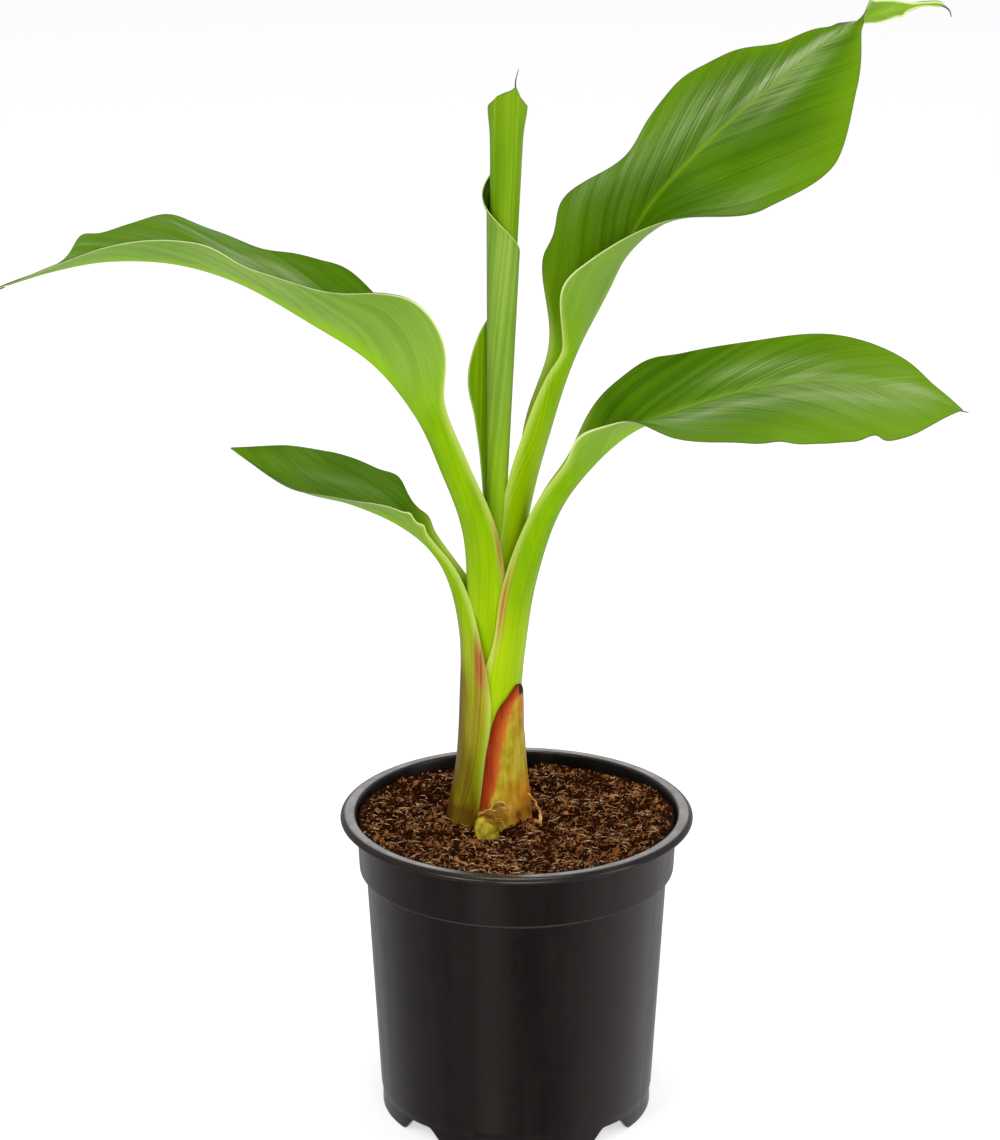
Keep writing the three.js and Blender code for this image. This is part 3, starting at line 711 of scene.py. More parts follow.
# Pleats: wavelength along the veins, height and phase. They die away at the rib and the margin.
PLEATS = ((9.0, 0.07, 0.4), (17.0, 0.12, 1.9), (37.0, 0.28, 4.0))
PLEAT_LEFT_PHASE = 2.0
PLEAT_DRIFT = 23.0
PLEAT_FROM_RIB = (0.5, 6)
PLEAT_FROM_MARGIN = (0, 8)
PLEAT_TIP_POWER = 6
VEIN_SLANT = 2.6
VEIN_BEND = 0.01
VEIN_LEFT_SHIFT = 500.0
FIBRE_SLANT = 0.03
# Darker earthy brown on a sheath near the soil: strength, heights between which it shows, and its
# ragged edge.
FOOT_BROWN = 0.85
FOOT_BROWN_HEIGHTS = (16, 3)
FOOT_BROWN_RAGGED = 5.0
FOOT_BROWN_LUMP = 6.0

# Heights between which each stalk turns from green to gold. On upper_right the gold reaches well up
# its stalk above the fork, as painted light over the fork's shade.
PALE = {
    "upper_right": (375, 275),
    "upper_left": (330, 210),
    "right": (282, 225),
    "lower_left": (290, 200),
}

# Soft spots of colour on each leaf: height, its spread, share across, its spread, and strength.
AGE = {
    "upper_right": [],
    "upper_left": [],
    "right": [(148, 12, 0.3, 0.6, 0.5)],
    "lower_left": [
        (165, 50, -0.28, 0.42, 1.0),
        (206, 32, -0.32, 0.32, 0.75),
        (146, 14, -0.6, 0.9, 0.9),
        (172, 38, -0.72, 0.25, 0.6),
    ],
}
BLUSH = {
    "upper_right": [],
    "upper_left": [(284, 16, -0.95, 0.07, 0.8)],
    "right": [(256, 20, 0.9, 0.09, 0.85)],
    "lower_left": [
        (232, 9, -0.92, 0.14, 0.8),
        (221, 9, -0.86, 0.13, 0.8),
        (204, 16, -0.8, 0.12, 0.45),
    ],
}

# Soft spots on each blade: share along it, its spread, share across, its spread, and strength.
# The first table is paler yellow-green at the tips, and painted light: a glow where light shines
# through near the margins, and a lit patch over the shade at the foot of one half.
PAINTED_LIGHT_AND_PALE_TIPS = {
    "upper_right": [
        (0.7, 0.35, 0.95, 0.4, 0.6),
        (0.5, 0.3, -0.95, 0.3, 0.4),
        (0.06, 0.14, -0.6, 0.7, 0.8),
    ],
    "upper_left": [(0.6, 0.5, 0.6, 0.6, 0.3), (1.0, 0.15, 0.0, 3.0, 0.6)],
    "right": [(1.0, 0.4, 0.0, 3.0, 0.75), (0.5, 0.4, 0.9, 0.4, 0.35)],
    "lower_left": [(0.5, 0.6, 0.4, 0.8, 0.2), (1.0, 0.3, 0.3, 0.6, 0.3)],
}
# Painted sheen on each blade: grey green streaks where gloss would catch the light.
SHEEN_SPOTS = {
    "upper_right": [
        (0.45, 0.12, -0.4, 0.28, 0.7),
        (0.62, 0.12, -0.22, 0.25, 0.75),
        (0.82, 0.16, -0.25, 0.3, 0.9),
        (0.3, 0.08, -0.9, 0.25, 0.5),
        (0.65, 0.12, 0.12, 0.12, 0.45),
        (0.38, 0.12, 0.85, 0.2, 0.3),
    ],
    "upper_left": [(0.43, 0.075, 0.45, 0.28, 1.8), (0.35, 0.05, 0.4, 0.2, 1.2)],
    "right": [
        (0.5, 0.12, -0.35, 0.22, 0.75),
        (0.64, 0.1, -0.22, 0.2, 0.6),
        (0.3, 0.12, 0.35, 0.3, 0.8),
        (0.5, 0.12, 0.25, 0.22, 0.6),
        (0.72, 0.14, 0.25, 0.3, 0.6),
        (0.87, 0.08, -0.2, 0.4, 0.7),
    ],
    "lower_left": [(0.5, 0.25, 0.4, 0.15, 0.2)],
}


def tapered(done, tip, extra, power):
    """Size at a share along a blade: its size at the tip, and an extra that is full at the foot and
    falls as a power of the share still to go."""
    return tip + extra * (1 - done) ** power


def pleats(vein, left):
    """Lift of the pleats: the sum of waves along the veins, drifting slowly, out of step on the two
    halves."""
    lift = np.zeros_like(vein)
    for wave, height, phase in PLEATS:
        phase = phase + PLEAT_LEFT_PHASE * left + np.sin(vein / PLEAT_DRIFT)
        lift += height * np.sin(2 * np.pi * vein / wave + phase)
    return lift


def leaf_pieces(name, leaf, finish):
    """Stalk and blade of one leaf, as two closed shells cut from one. The lower face is the leaf's
    outer face with a keel under the midrib. The upper face lies a stalk's or a blade's thickness
    inside it, with a groove over the midrib. Pleats follow the side veins."""
    rows = leaf_rows(leaf)
    start, last = leaf["blade_start"], len(rows) - 1
    stalk = even_places(rows, 0, start, STALK_ROWS)
    places = np.append(stalk, even_places(rows, start, last, BLADE_ROWS)[1:])
    cut = STALK_ROWS - 1
    t = np.linspace(1, -1, ACROSS)
    across = EVEN_ACROSS * t + (1 - EVEN_ACROSS) * t**3
    left = (across < 0)[None]
    face, up, half = leaf_face(leaf, rows, places, across)
    inward = grid_normals(face)
    length = path_length(along_rows(rows, places)[:, :3])[:, None]
    length = length - length[cut]
    distance = np.abs(across)[None] * half
    margin = half - distance
    done = np.clip(length / length[-1], 0, 1)
    blade = smooth_step(start - BLADE_FADE[0], start + BLADE_FADE[1], places)[:, None]
    rib_half = tapered(done, *RIB)
    rib = bell(distance, rib_half)
    rib_above = bell(distance, tapered(done, *RIB_TINT_ABOVE)) * (1 - TINT_FADE_ABOVE * done)
    rib_below = bell(distance, tapered(done, *RIB_TINT_BELOW)) * (1 - TINT_FADE_BELOW * done)
    keel = KEEL * (1 - KEEL_FADE * done)
    vein = length - VEIN_SLANT * distance - VEIN_BEND * distance**2
    room = smooth_step(*PLEAT_FROM_RIB, distance) * smooth_step(*PLEAT_FROM_MARGIN, margin)
    pleat = pleats(vein, left) * (blade * room * (1 - done**PLEAT_TIP_POWER))
    lower = face + up * (blade * keel * (1 - rib))[..., None] + inward * pleat[..., None]
    stalk_depth = STALK_EDGE + (leaf["thickness"] - STALK_EDGE) * (1 - across[None] ** 2)
    groove = GROOVE * keel * bell(distance, GROOVE_HALF + GROOVE_RIB_SHARE * rib_half)
    depth = (1 - blade) * stalk_depth + blade * BLADE_THICKNESS
    upper = face + up * (blade * (keel - groove))[..., None] + inward * (depth + pleat)[..., None]
    rings = two_faced(lower, upper)
    facing = two_faced(-grid_normals(lower), grid_normals(upper))
    z = face[..., 2]
    ones = np.ones_like(distance)
    ragged = FOOT_BROWN_RAGGED * lumps(face, FOOT_BROWN_LUMP, 7)
    both = {
        "vein": vein + VEIN_LEFT_SHIFT * left,
        "fibre": across[None] * half + FIBRE_SLANT * length,
        "blade": blade * ones,
        "margin": margin,
        "pale": smooth_step(*PALE[name], z),
        "age": spots(z, across[None], AGE[name]),
        "blush": spots(z, across[None], BLUSH[name]),
        # Darker earthy brown near the soil.
        "stain": FOOT_BROWN * smooth_step(*FOOT_BROWN_HEIGHTS, z - SOIL_TOP + ragged),
        # Paler tips and painted light.
        "light": spots(done, across[None], PAINTED_LIGHT_AND_PALE_TIPS[name]),
        # Painted sheen.
        "painted_sheen": spots(done, across[None], SHEEN_SPOTS[name]),
    }
    values = {key: two_faced(grid, grid) for key, grid in both.items()}
    values["upper"] = two_faced(0 * ones, ones)
    values["rib"] = two_faced(rib_below, rib_above) * blade
    cuts = (("petiole", "petiole", slice(0, cut + 1)), ("leaf", "blade", slice(cut, None)))
    for kind, slot, part in cuts:
        node = f"{kind}_{name}"
        numbers = {key: grid[part] for key, grid in values.items()}
        make_shell(node + "_fine", rings[part], finish, [node], numbers, facing[part])


# Stem, stub and bud

STEM_GRID = (60, 96)
STEM_ENDS = (SOIL_TOP - 3, FORK_Z + 4)
STEM_RIB = 0.25
STEM_RIBS = 9
STEM_TWIST = 0.02
FAR_FROM_EDGE = 9.0


def stem_piece(finish):
    """Core of packed leaf bases: rings of the stem's radius less the depth of the outer sheaths,
    with shallow ribs round it that turn slowly with height."""
    rows, columns = STEM_GRID
    z = np.linspace(*STEM_ENDS, rows)[:, None]
    angle = ring_angles(columns)
    ribs = STEM_RIB * np.sin(STEM_RIBS * angle + STEM_TWIST * z)
    rings = round_points(stem_centre(z), stem_radius(z) - STEM_CORE_DEPTH + ribs, angle, z)
    flat = np.zeros(STEM_GRID)
    values = {
        "pale": flat + 1.0,
        "margin": flat + FAR_FROM_EDGE,
        "fibre": flat + STEM_RADIUS * angle,
    }
    make_shell("pseudostem_fine", rings, finish, ["pseudostem"], values)


# Stub, set out as a leaf of sheath rows alone.
STUB = {
    "azimuth": -35,
    "sheath": [
        [-3.5, 0.8, 68, 73],
        [22.5, 0.8, 61, 67],
        [42.5, 0.8, 48, 60],
        [58.5, 0.8, 32, 46],
        [66.5, 0.8, 18, 23],
        [70.5, 0.8, 7, 8],
    ],
    "free": [],
    "blade_start": 0,
    "ruffle": (0, (0, 0), (0, 0)),
    "bumps": [],
}
STUB_GRID = (120, 61)
STUB_THICKNESS = 1.3
STUB_THINNING = 0.6
STUB_LUMP = 9.0
STUB_LUMP_HEIGHT = 0.5
STUB_DENT = 0.4
# Orange spots: height, its spread, share across, its spread, and strength.
STUB_GLOW = [(204, 9, -0.5, 0.8, 0.9), (188, 16, -0.75, 0.3, 0.6), (155, 13, -0.3, 0.75, 1.0)]
# Red band along one margin: its width at the foot, and what it gains up to a height.
BAND_WIDTH = 3.6
BAND_GAIN = 5.2
BAND_GAIN_HEIGHT = 30


def stub_piece(finish):
    """Foot of an old sheath that narrows to a torn point: an arc of the stem's round at each
    height, a little thinner at its margins, with soft lumps."""
    rows = leaf_rows(STUB)
    places = np.linspace(0, len(rows) - 1, STUB_GRID[0])
    across = np.linspace(1, -1, STUB_GRID[1])
    face, _, half = leaf_face(STUB, rows, places, across)
    inward = grid_normals(face)
    z = face[..., 2]
    flat = np.stack([across[None] * half, z], -1)
    swell = np.maximum(STUB_LUMP_HEIGHT * lumps(flat, STUB_LUMP, 3), -STUB_DENT)
    depth = STUB_THICKNESS * (1 - STUB_THINNING * across[None] ** 2)
    rings = two_faced(face - inward * swell[..., None], face + inward * depth[..., None])
    margin = (1 - across)[None] * half
    height = z - SOIL_TOP
    ragged = lumps(flat, 3.0, 5)
    band_width = BAND_WIDTH + BAND_GAIN * smooth_step(0, BAND_GAIN_HEIGHT, height)
    band = smooth_step(1.0, 0.75, (margin + 0.8 * ragged) / band_width)
    both = {
        "fibre": flat[..., 0],
        "margin": margin,
        "band": band * smooth_step(2, 12, height),
        "torn": smooth_step(64, 66, height + 1.5 * ragged) * smooth_step(0.2, -0.1, across)[None],
        "age": smooth_step(17, 3, height + 3 * ragged) * (0.65 + 0.35 * lumps(flat, 6.0, 9)),
        "glow": spots(z, across[None], STUB_GLOW),
    }
    values = {key: two_faced(grid, grid) for key, grid in both.items()}
    make_shell("old_sheath_fine", rings, finish, ["old_sheath"], values)


BUD_FOOT = np.array([-14.6, -9.8])
BUD_RADIUS = 5.8
BUD_HEIGHT = 10.0
BUD_DEPTH = 2.0
BUD_GRID = (40, 60)
BUD_CLOSING = 0.985
BUD_SCALES = 3
BUD_SCALE_RISE = 0.1
BUD_CRUMPLE = 0.35


def bud_piece(finish):
    """Side bud: a blunt dome whose radius falls as the root of one less the fourth power of the
    height, with three soft scales round it and a crumpled top."""
    rows, columns = BUD_GRID
    share = np.linspace(0, 1, rows)[:, None]
    angle = ring_angles(columns)
    scales = 1 + BUD_SCALE_RISE * np.cos(BUD_SCALES * angle + 3 * share)
    radius = BUD_RADIUS * np.sqrt(1 - BUD_CLOSING * share**4) * scales
    z = SOIL_TOP - BUD_DEPTH + (BUD_HEIGHT + BUD_DEPTH) * share
    rings = round_points(BUD_FOOT, radius, angle, z)
    outward = unit(rings - [*BUD_FOOT, SOIL_TOP])
    rings = rings + BUD_CRUMPLE * lumps(rings, 2.5, 8)[..., None] * outward
    torn = smooth_step(0.8, 1.05, share + 0.25 * lumps(rings, 2.0, 4))
    make_shell("offset_bud_fine", rings, finish, ["offset_bud"], {"torn": torn})


# Dry scraps at the stem's foot: start, middle and end of the path, then the width in millimetres,
# the direction across, in degrees from +X in plan, and its rise.
SCRAPS = [
    ((-12.6, -6.6, 153.0), (-9.4, -7.6, 161.5), (-4.4, -5.4, 153.6), 4.4, 262, 1.6),
    ((-18.6, -8.2, 152.6), (-14.2, -8.4, 156.4), (-10.2, -7.2, 154.2), 1.8, 262, 1.6),
    ((-10.2, -9.2, 149.0), (-7.4, -10.4, 154.0), (-5.4, -9.0, 146.5), 2.6, 290, 1.2),
    ((5.1, 5.0, 157.9), (11.4, 2.4, 156.0), (11.8, -1.6, 141.5), 1.7, 300, 0.35),
    ((8.6, -0.5, 147.0), (11.2, -2.2, 146.6), (9.9, -3.2, 140.5), 3.0, 330, 0.6),
]
SCRAP_GRID = (36, 13)
SCRAP_THICKNESS = 0.35
SCRAP_END = 0.04
SCRAP_RAGGED = 0.25
SCRAP_ARCH = 0.25
SCRAP_CRUMPLE = 0.7


def scrap_piece(number, start, middle, end, width, heading, climb, finish):
    """Papery scrap: a ribbon along a quadratic curve, widest in its middle and ragged at its edges,
    whose cross-section is a shallow arc, crumpled by lumps."""
    rows, columns = SCRAP_GRID
    start, middle, end = np.array(start), np.array(middle), np.array(end)
    t = np.linspace(0, 1, rows)[:, None]
    path = (1 - t) ** 2 * start + 2 * t * (1 - t) * middle + t**2 * end
    along = unit(np.gradient(path, axis=0))
    heading = math.radians(heading)
    side = np.array([math.cos(heading), math.sin(heading), climb])
    side = unit(side - along * (along @ side)[:, None])
    arch = np.cross(side, along)[:, None]
    u = np.linspace(-1, 1, columns)[None]
    taper = np.sin(np.pi * np.clip(t, SCRAP_END, 1 - SCRAP_END)) ** 0.5
    half = 0.5 * width * (taper + SCRAP_RAGGED * lumps(40 * t[..., None], 3.0, number))
    rise = SCRAP_ARCH * width * (1 - u**2)
    sheet = path[:, None] + (half * u)[..., None] * side[:, None] + rise[..., None] * arch
    sheet = sheet + SCRAP_CRUMPLE * lumps(sheet, 2.0, number)[..., None] * arch
    rings = sheet_shell(sheet, SCRAP_THICKNESS)
    make_shell(f"dry_scrap_{number}", rings, finish)


# Rolled leaf

ROLL_FOOT = np.array([-11.2, 14.5])
ROLL_MOUTH = np.array([-5.0, 20.0])
ROLL_FOOT_Z = FORK_Z + 1
ROLL_MOUTH_Z = 495.0
ROLL_FOOT_RADIUS = 1.8
ROLL_MOUTH_RADIUS = 8.4
# Inner roll: degrees round it from +X where its spiral starts and ends, the radius lost in a turn,
# and the part of the radius that a spiral may use up.
TUBE_GRID = (140, 170)
TUBE_START, TUBE_END = 100, -548
TUBE_THICKNESS = 0.5
TURN_DEPTH = 1.5
SPIRAL_SHARE = 2.6
# Corners of the mouth that bend outwards: degrees round the roll, spread and strength.
MOUTH_CORNERS = ((-14, 26, 1.0), (-180, 24, 0.7))
MOUTH_FLARE = 1.5
MOUTH_FLARE_HEIGHT = 9
# Top of the roll's mouth: degrees round it from +X, and height above its left corner.
MOUTH_EDGE = (
    (-560, -260, -200, -180, -165, -140, -123, -100, -78, -66, -60, -52, -42, -20, 0, 10, 100),
    (-9, -7, -3, 0, 2.2, 4.75, 7.1, 8.85, 9.9, 11.0, 11.6, 9.0, 6.2, 2.0, 0.2, -2, -6),
)
# Outer turn: degrees round the roll from the back where it ends, its gap over the inner roll, and
# what its radius loses on the way round.
WRAP_GRID = (190, 130)
WRAP_END = 385
WRAP_GAP = 0.3
WRAP_DEPTH = 0.8
WRAP_THICKNESS = 0.45
WRAP_TOP_Z = 469.0
FLAP_BEND = 0.025
# Numbers that set the stripes of the two turns apart.
TUBE_STRIPES = 8
WRAP_STRIPE_SHIFT = 300
# Free margin of the outer turn: below the loose stretch and along it, height and reach to the left
# of the roll's axis in millimetres; above it, height and degrees round the roll from the back.
FLAP_HEIGHTS = (232, 270, 301, 326, 345, 361, 373, 385, 396, 408)
FLAP_REACH = np.array([[3.0, 4.5, 6.1, 8.5, 11.4, 14.7, 13.9, 10.2, 4.0, -2.0]]).T
SLANT_EDGE = ((398, 426, 440, 454.5, 469), (0, 90, 180, 270, 360))
SLANT_START_Z = 398.0
# The slanting margin stands off the roll: how far, and degrees from the margin, then where it does
# so most, and the spread of that.
LIP = 2.3
LIP_WIDTH = 26
LIP_PLACE = 252
LIP_SPREAD = 70


def roll_share(z):
    """Share of the way from the fork to the roll's mouth."""
    return (z - FORK_Z) / (ROLL_MOUTH_Z - FORK_Z)


def roll_axis(z):
    """Centre of the roll at each height: a straight line from its foot to its mouth."""
    return ROLL_FOOT + (ROLL_MOUTH - ROLL_FOOT) * roll_share(z)[..., None]


def roll_radius(z):
    """Radius of the inner roll, growing evenly from its foot to its mouth."""
    return ROLL_FOOT_RADIUS + (ROLL_MOUTH_RADIUS - ROLL_FOOT_RADIUS) * roll_share(z)


def roll_tube():
    """Inner roll: a spiral whose radius shrinks with each turn, flared at the corners of its pointed
    mouth. The sheet's points, with its own numbers."""
    rows, columns = TUBE_GRID
    degrees = np.linspace(TUBE_START, TUBE_END, columns)[None]
    angle = np.radians(degrees)
    turn = (TUBE_START - degrees) / 360
    mouth = ROLL_MOUTH_Z + np.interp(degrees, *MOUTH_EDGE)
    share = np.linspace(0, 1, rows)[:, None] ** 0.7
    z = ROLL_FOOT_Z + (mouth - ROLL_FOOT_Z) * share
    from_mouth = mouth - z
    corners = sum(much * bell(degrees - place, wide) for place, wide, much in MOUTH_CORNERS)
    flare = MOUTH_FLARE * corners * bell(from_mouth, MOUTH_FLARE_HEIGHT)
    lost = TURN_DEPTH * np.minimum(turn, roll_radius(z) / SPIRAL_SHARE)
    points = round_points(roll_axis(z), roll_radius(z) - lost + flare, angle, z)
    nought = np.zeros(TUBE_GRID)
    return points, {
        "margin": nought + FAR_FROM_EDGE,
        "lip": from_mouth,
        "fibre": nought + TUBE_STRIPES * angle,
        "inner": nought + 1,
        "foot": nought,
        "face": nought,
    }


def roll_wrap():
    """Outer turn: a sheet from its free margin round the roll. The margin stands out as a flap at
    the left, then climbs round the back, the right and the front. The sheet's points, with its own
    numbers."""
    rows, columns = WRAP_GRID
    z = np.linspace(ROLL_FOOT_Z, WRAP_TOP_Z, rows)[:, None]
    wide = roll_radius(z) + 1.0
    places = np.interp(z[:, 0], FLAP_HEIGHTS, np.arange(len(FLAP_HEIGHTS)))
    loose_edge = -np.degrees(along_rows(FLAP_REACH, places) / wide)
    below_slant = z < SLANT_START_Z
    edge = np.where(below_slant, np.minimum(loose_edge, 0), np.interp(z, *SLANT_EDGE))
    beta = edge + (WRAP_END - edge) * np.linspace(0, 1, columns)[None]
    lip = LIP * bell(beta - edge, LIP_WIDTH) * bell(edge - LIP_PLACE, LIP_SPREAD)
    radius = roll_radius(z) + WRAP_GAP + WRAP_DEPTH * (1 - beta / WRAP_END) + lip
    angle = np.radians(90 - np.maximum(beta, 0))
    loose = np.radians(np.minimum(beta, 0)) * wide
    points = round_points(roll_axis(z), radius, angle, z)
    points[..., :2] += np.stack([loose, -FLAP_BEND * loose**2], -1)
    nought = np.zeros(WRAP_GRID)
    return points, {
        "margin": np.radians(beta - edge) * wide,
        "lip": nought + FAR_FROM_EDGE,
        "fibre": wide * np.radians(beta) + WRAP_STRIPE_SHIFT,
        "inner": nought,
        # Brighter low down: the roll's own colour, and painted light in the shaded fork.
        "foot": nought + smooth_step(370, 300, z),
        "face": smooth_step(2, -6, loose) * below_slant,
    }


def roll_piece(finish):
    """Rolled leaf: the shells of its inner roll and its outer turn in one mesh. The inside of the
    outer turn is shaded above the flap."""
    tube, tube_values = roll_tube()
    wrap, wrap_values = roll_wrap()
    tube_rings = sheet_shell(tube[:, ::-1], TUBE_THICKNESS)
    wrap_rings = sheet_shell(wrap[:, ::-1], WRAP_THICKNESS)
    size = tube_rings[..., 0].size
    values = {}
    for key in tube_values:
        grids = [tube_values[key][:, ::-1], wrap_values[key][:, ::-1]]
        values[key] = np.concatenate([two_faced(grid, grid).ravel() for grid in grids])
    within = 1.0 * (wrap[..., 2] > SLANT_START_Z)
    values["shade"] = np.append(np.zeros(size), two_faced(0 * within, within).ravel())
    wrap_faces = shell_faces(*wrap_rings.shape[:2]) + size
    faces = np.vstack([shell_faces(*tube_rings.shape[:2]), wrap_faces])
    points = np.vstack([tube_rings.reshape(-1, 3), wrap_rings.reshape(-1, 3)])
    make_piece("rolled_leaf_fine", points, faces, finish, ["rolled_leaf"], values)


# Dried threads at the leaf tips: name, slot, radius and path.
THREADS = [
    (
        "rolled_leaf_thread",
        "rolled_leaf",
        0.45,
        [(-0.4, 14.0, 503.0), (-0.9, 14.2, 507.5), (-0.4, 14.4, 511.0), (0.6, 14.6, 514.5)],
    ),
    (
        "upper_right_thread",
        "blade",
        0.6,
        [(203.0, 106.1, 523.3), (205.4, 106.4, 522.0), (207.1, 107.0, 519.9), (207.7, 107.0, 517.5)],
    ),
    (
        "right_thread",
        "blade",
        0.5,
        [(201.5, -56.7, 372.4), (204.0, -57.3, 371.9), (206.0, -57.6, 371.6)],
    ),
    (
        "upper_left_thread",
        "blade",
        0.5,
        [(-232.0, -58.6, 431.6), (-235.0, -59.2, 430.2), (-236.5, -59.5, 429.0)],
    ),
]
THREAD_GRID = (40, 8)
THREAD_END = 0.35
THREAD_SIDE = (0.0, 1.0, 0.2)


def thread_piece(name, slot, thick, path, finish):
    """Dried thread: a round section along a smooth path, thinning evenly to its end."""
    rows, columns = THREAD_GRID
    knots = np.array(path, float)
    line = along_rows(knots, np.linspace(0, len(knots) - 1, rows))
    along = unit(np.gradient(line, axis=0))
    side = unit(np.cross(along, THREAD_SIDE))
    other = np.cross(along, side)
    angle = ring_angles(columns)[..., None]
    radius = thick * np.linspace(1, THREAD_END, rows)[:, None, None]
    section = np.cos(angle) * side[:, None] + np.sin(angle) * other[:, None]
    make_shell(name, line[:, None] + radius * section, finish)


# Pot

AXIS = np.zeros(2)
POT_COLUMNS = 360
POLE_RADIUS = 0.01
# Rounding of the corners: distance along the lines beside one, its most of a line, and its points.
EDGE_ROUND = 1.3
EDGE_SHARE = 0.45
EDGE_POINTS = 5


def rounded(profile):
    """Profile whose corners are replaced by short curves: each leaves the lines beside its corner
    at the rounding's distance, or nearer on a short line, as a quadratic curve."""
    p = np.asarray(profile, float)
    corner = p[1:-1]
    ends = []
    for beside in (p[:-2], p[2:]):
        line = beside - corner
        size = np.linalg.norm(line, axis=1, keepdims=True)
        ends.append((corner + line / size * np.minimum(EDGE_ROUND, EDGE_SHARE * size))[:, None])
    t = np.linspace(0, 1, EDGE_POINTS)[None, :, None]
    curve = (1 - t) ** 2 * ends[0] + 2 * t * (1 - t) * corner[:, None] + t**2 * ends[1]
    return np.vstack([p[:1], curve.reshape(-1, 2), p[-1:]])


def pot_profile():
    """Corners of the pot's section as radius and height: from the middle of its underside out to the
    foot ring, up the outside to the rim, and down the inside to the middle of the floor."""
    inner = COLLAR_TOP_RADIUS - POT_WALL
    rim_foot = POT_HEIGHT - RIM_DEPTH
    foot_inner = FOOT_RADIUS - FOOT_THICKNESS
    return [
        (POLE_RADIUS, FLOOR_Z),
        (FLOOR_RADIUS, FLOOR_Z),
        (FLOOR_RADIUS + 1.8, WEB_Z),
        (foot_inner - 0.2, WEB_Z),
        (foot_inner, 0),
        (FOOT_RADIUS, 0),
        (FOOT_RADIUS, FOOT_HEIGHT),
        (WALL_FOOT_RADIUS, FOOT_HEIGHT + 3.2),
        (WALL_TOP_RADIUS, COLLAR_FOOT_Z - 1.4),
        (COLLAR_FOOT_RADIUS - 0.2, COLLAR_FOOT_Z - 0.7),
        (COLLAR_FOOT_RADIUS, COLLAR_FOOT_Z + 1.2),
        (COLLAR_TOP_RADIUS, rim_foot - 1.6),
        (COLLAR_TOP_RADIUS + 1.6, rim_foot - 0.1),
        (RIM_RADIUS, rim_foot),
        (RIM_RADIUS, POT_HEIGHT - 1.6),
        (RIM_RADIUS - 2.0, POT_HEIGHT),
        (inner + 2.2, POT_HEIGHT),
        (inner, POT_HEIGHT - 5.5),
        (COLLAR_FOOT_RADIUS - POT_WALL, COLLAR_FOOT_Z + 1),
        (WALL_TOP_RADIUS - POT_WALL, COLLAR_FOOT_Z - 0.4),
        (WALL_FOOT_RADIUS - POT_WALL, WEB_Z + FLOOR_THICKNESS),
        (FLOOR_RADIUS + 1.4, WEB_Z + FLOOR_THICKNESS),
        (FLOOR_RADIUS - 0.4, FLOOR_Z + FLOOR_THICKNESS),
        (POLE_RADIUS, FLOOR_Z + FLOOR_THICKNESS),
    ]


def pot_piece(finish):
    """Pot: its rounded profile carried round the axis. Between the feet the bottom of the foot ring
    is raised to a flat arch with sloping ends."""
    line = rounded(pot_profile())
    angle = ring_angles(POT_COLUMNS)
    radius, z = line[:, :1] + 0 * angle, line[:, 1:] + 0 * angle
    pitch = 360 / NOTCHES
    turn = (np.degrees(angle) - NOTCH_AZIMUTH + pitch / 2) % pitch - pitch / 2
    arc = np.radians(np.abs(turn)) * FOOT_RADIUS
    half = np.radians(NOTCH_WIDTH) * FOOT_RADIUS / 2
    arch = (FOOT_HEIGHT - NOTCH_LIP) * smooth_step(half, half - NOTCH_SLOPE, arc)
    raised = arch + z * (1 - arch / FOOT_HEIGHT)
    z = np.where((radius > FLOOR_RADIUS + 4) & (z < FOOT_HEIGHT), raised, z)
    past_rim = (np.arange(len(line)) > line[:, 1].argmax())[:, None]
    inner = COLLAR_TOP_RADIUS - POT_WALL
    inside = past_rim * smooth_step(inner + 2.4, inner + 1.4, radius)
    rings = round_points(AXIS, radius, angle, z)
    make_shell("pot_fine", rings, finish, ["pot"], {"inside": inside})


# Soil

# Lumps of the soil's surface: height and size.
SOIL_LUMPS = ((1.2, 19.0), (2.3, 8.0), (1.6, 3.4), (0.6, 1.6))
SOIL_GRID = (130, 360)
# Edge of the soil: distances from the axis between which its lumps calm down, and how far, then
# between which it rises to the wall, by how much, and how much more at both sides.
CALM_FROM, CALM = (60, 75), 0.6
RISE_FROM, WALL_RISE, SIDE_RISE = (50, 76), 2.6, 4.0
MOUND_HEIGHT, MOUND_WIDTH = 2.5, 5
SOIL_DROP = 0.8
# Soil inside the wall, from its foot up: radius and height.
SOIL_WALL = np.array([[57.0, 12.0], [64.0, 12.5], [70.0, 118.0], [74.2, 128.0]])
SOIL_CENTRE_RADIUS = 0.05


def from_stem(x, y):
    """Distance in plan from the outside of the stem's foot."""
    return np.hypot(x - STEM_FOOT[0], y - STEM_FOOT[1]) - STEM_RADIUS - STEM_FLARE


def soil_height(x, y):
    """Height of the soil's surface: its level, lumps of four sizes, a rise towards the wall, more at
    both sides, and a low mound against the stem."""
    place = np.stack([x, y], -1)
    relief = sum(tall * lumps(place, size, seed) for seed, (tall, size) in enumerate(SOIL_LUMPS, 1))
    from_axis = np.hypot(x, y)
    relief = relief * (1 - CALM * smooth_step(*CALM_FROM, from_axis))
    rise = (WALL_RISE + SIDE_RISE * (x / SOIL_RADIUS) ** 2) * smooth_step(*RISE_FROM, from_axis)
    mound = MOUND_HEIGHT * bell(from_stem(x, y), MOUND_WIDTH)
    return SOIL_TOP - SOIL_DROP + relief + rise + mound


def soil_piece(finish):
    """Potting mix: a disc with relief whose edge is carried down inside the wall to a closed foot."""
    rows, columns = SOIL_GRID
    angle = ring_angles(columns)
    radius = np.linspace(SOIL_RADIUS, SOIL_CENTRE_RADIUS, rows)[:, None]
    top = round_points(AXIS, radius, angle, 0.0)
    top[..., 2] = soil_height(top[..., 0], top[..., 1])
    side = round_points(AXIS, SOIL_WALL[:, :1], angle, SOIL_WALL[:, 1:])
    make_shell("soil_fine", np.concatenate([side, top]), finish, ["soil"])


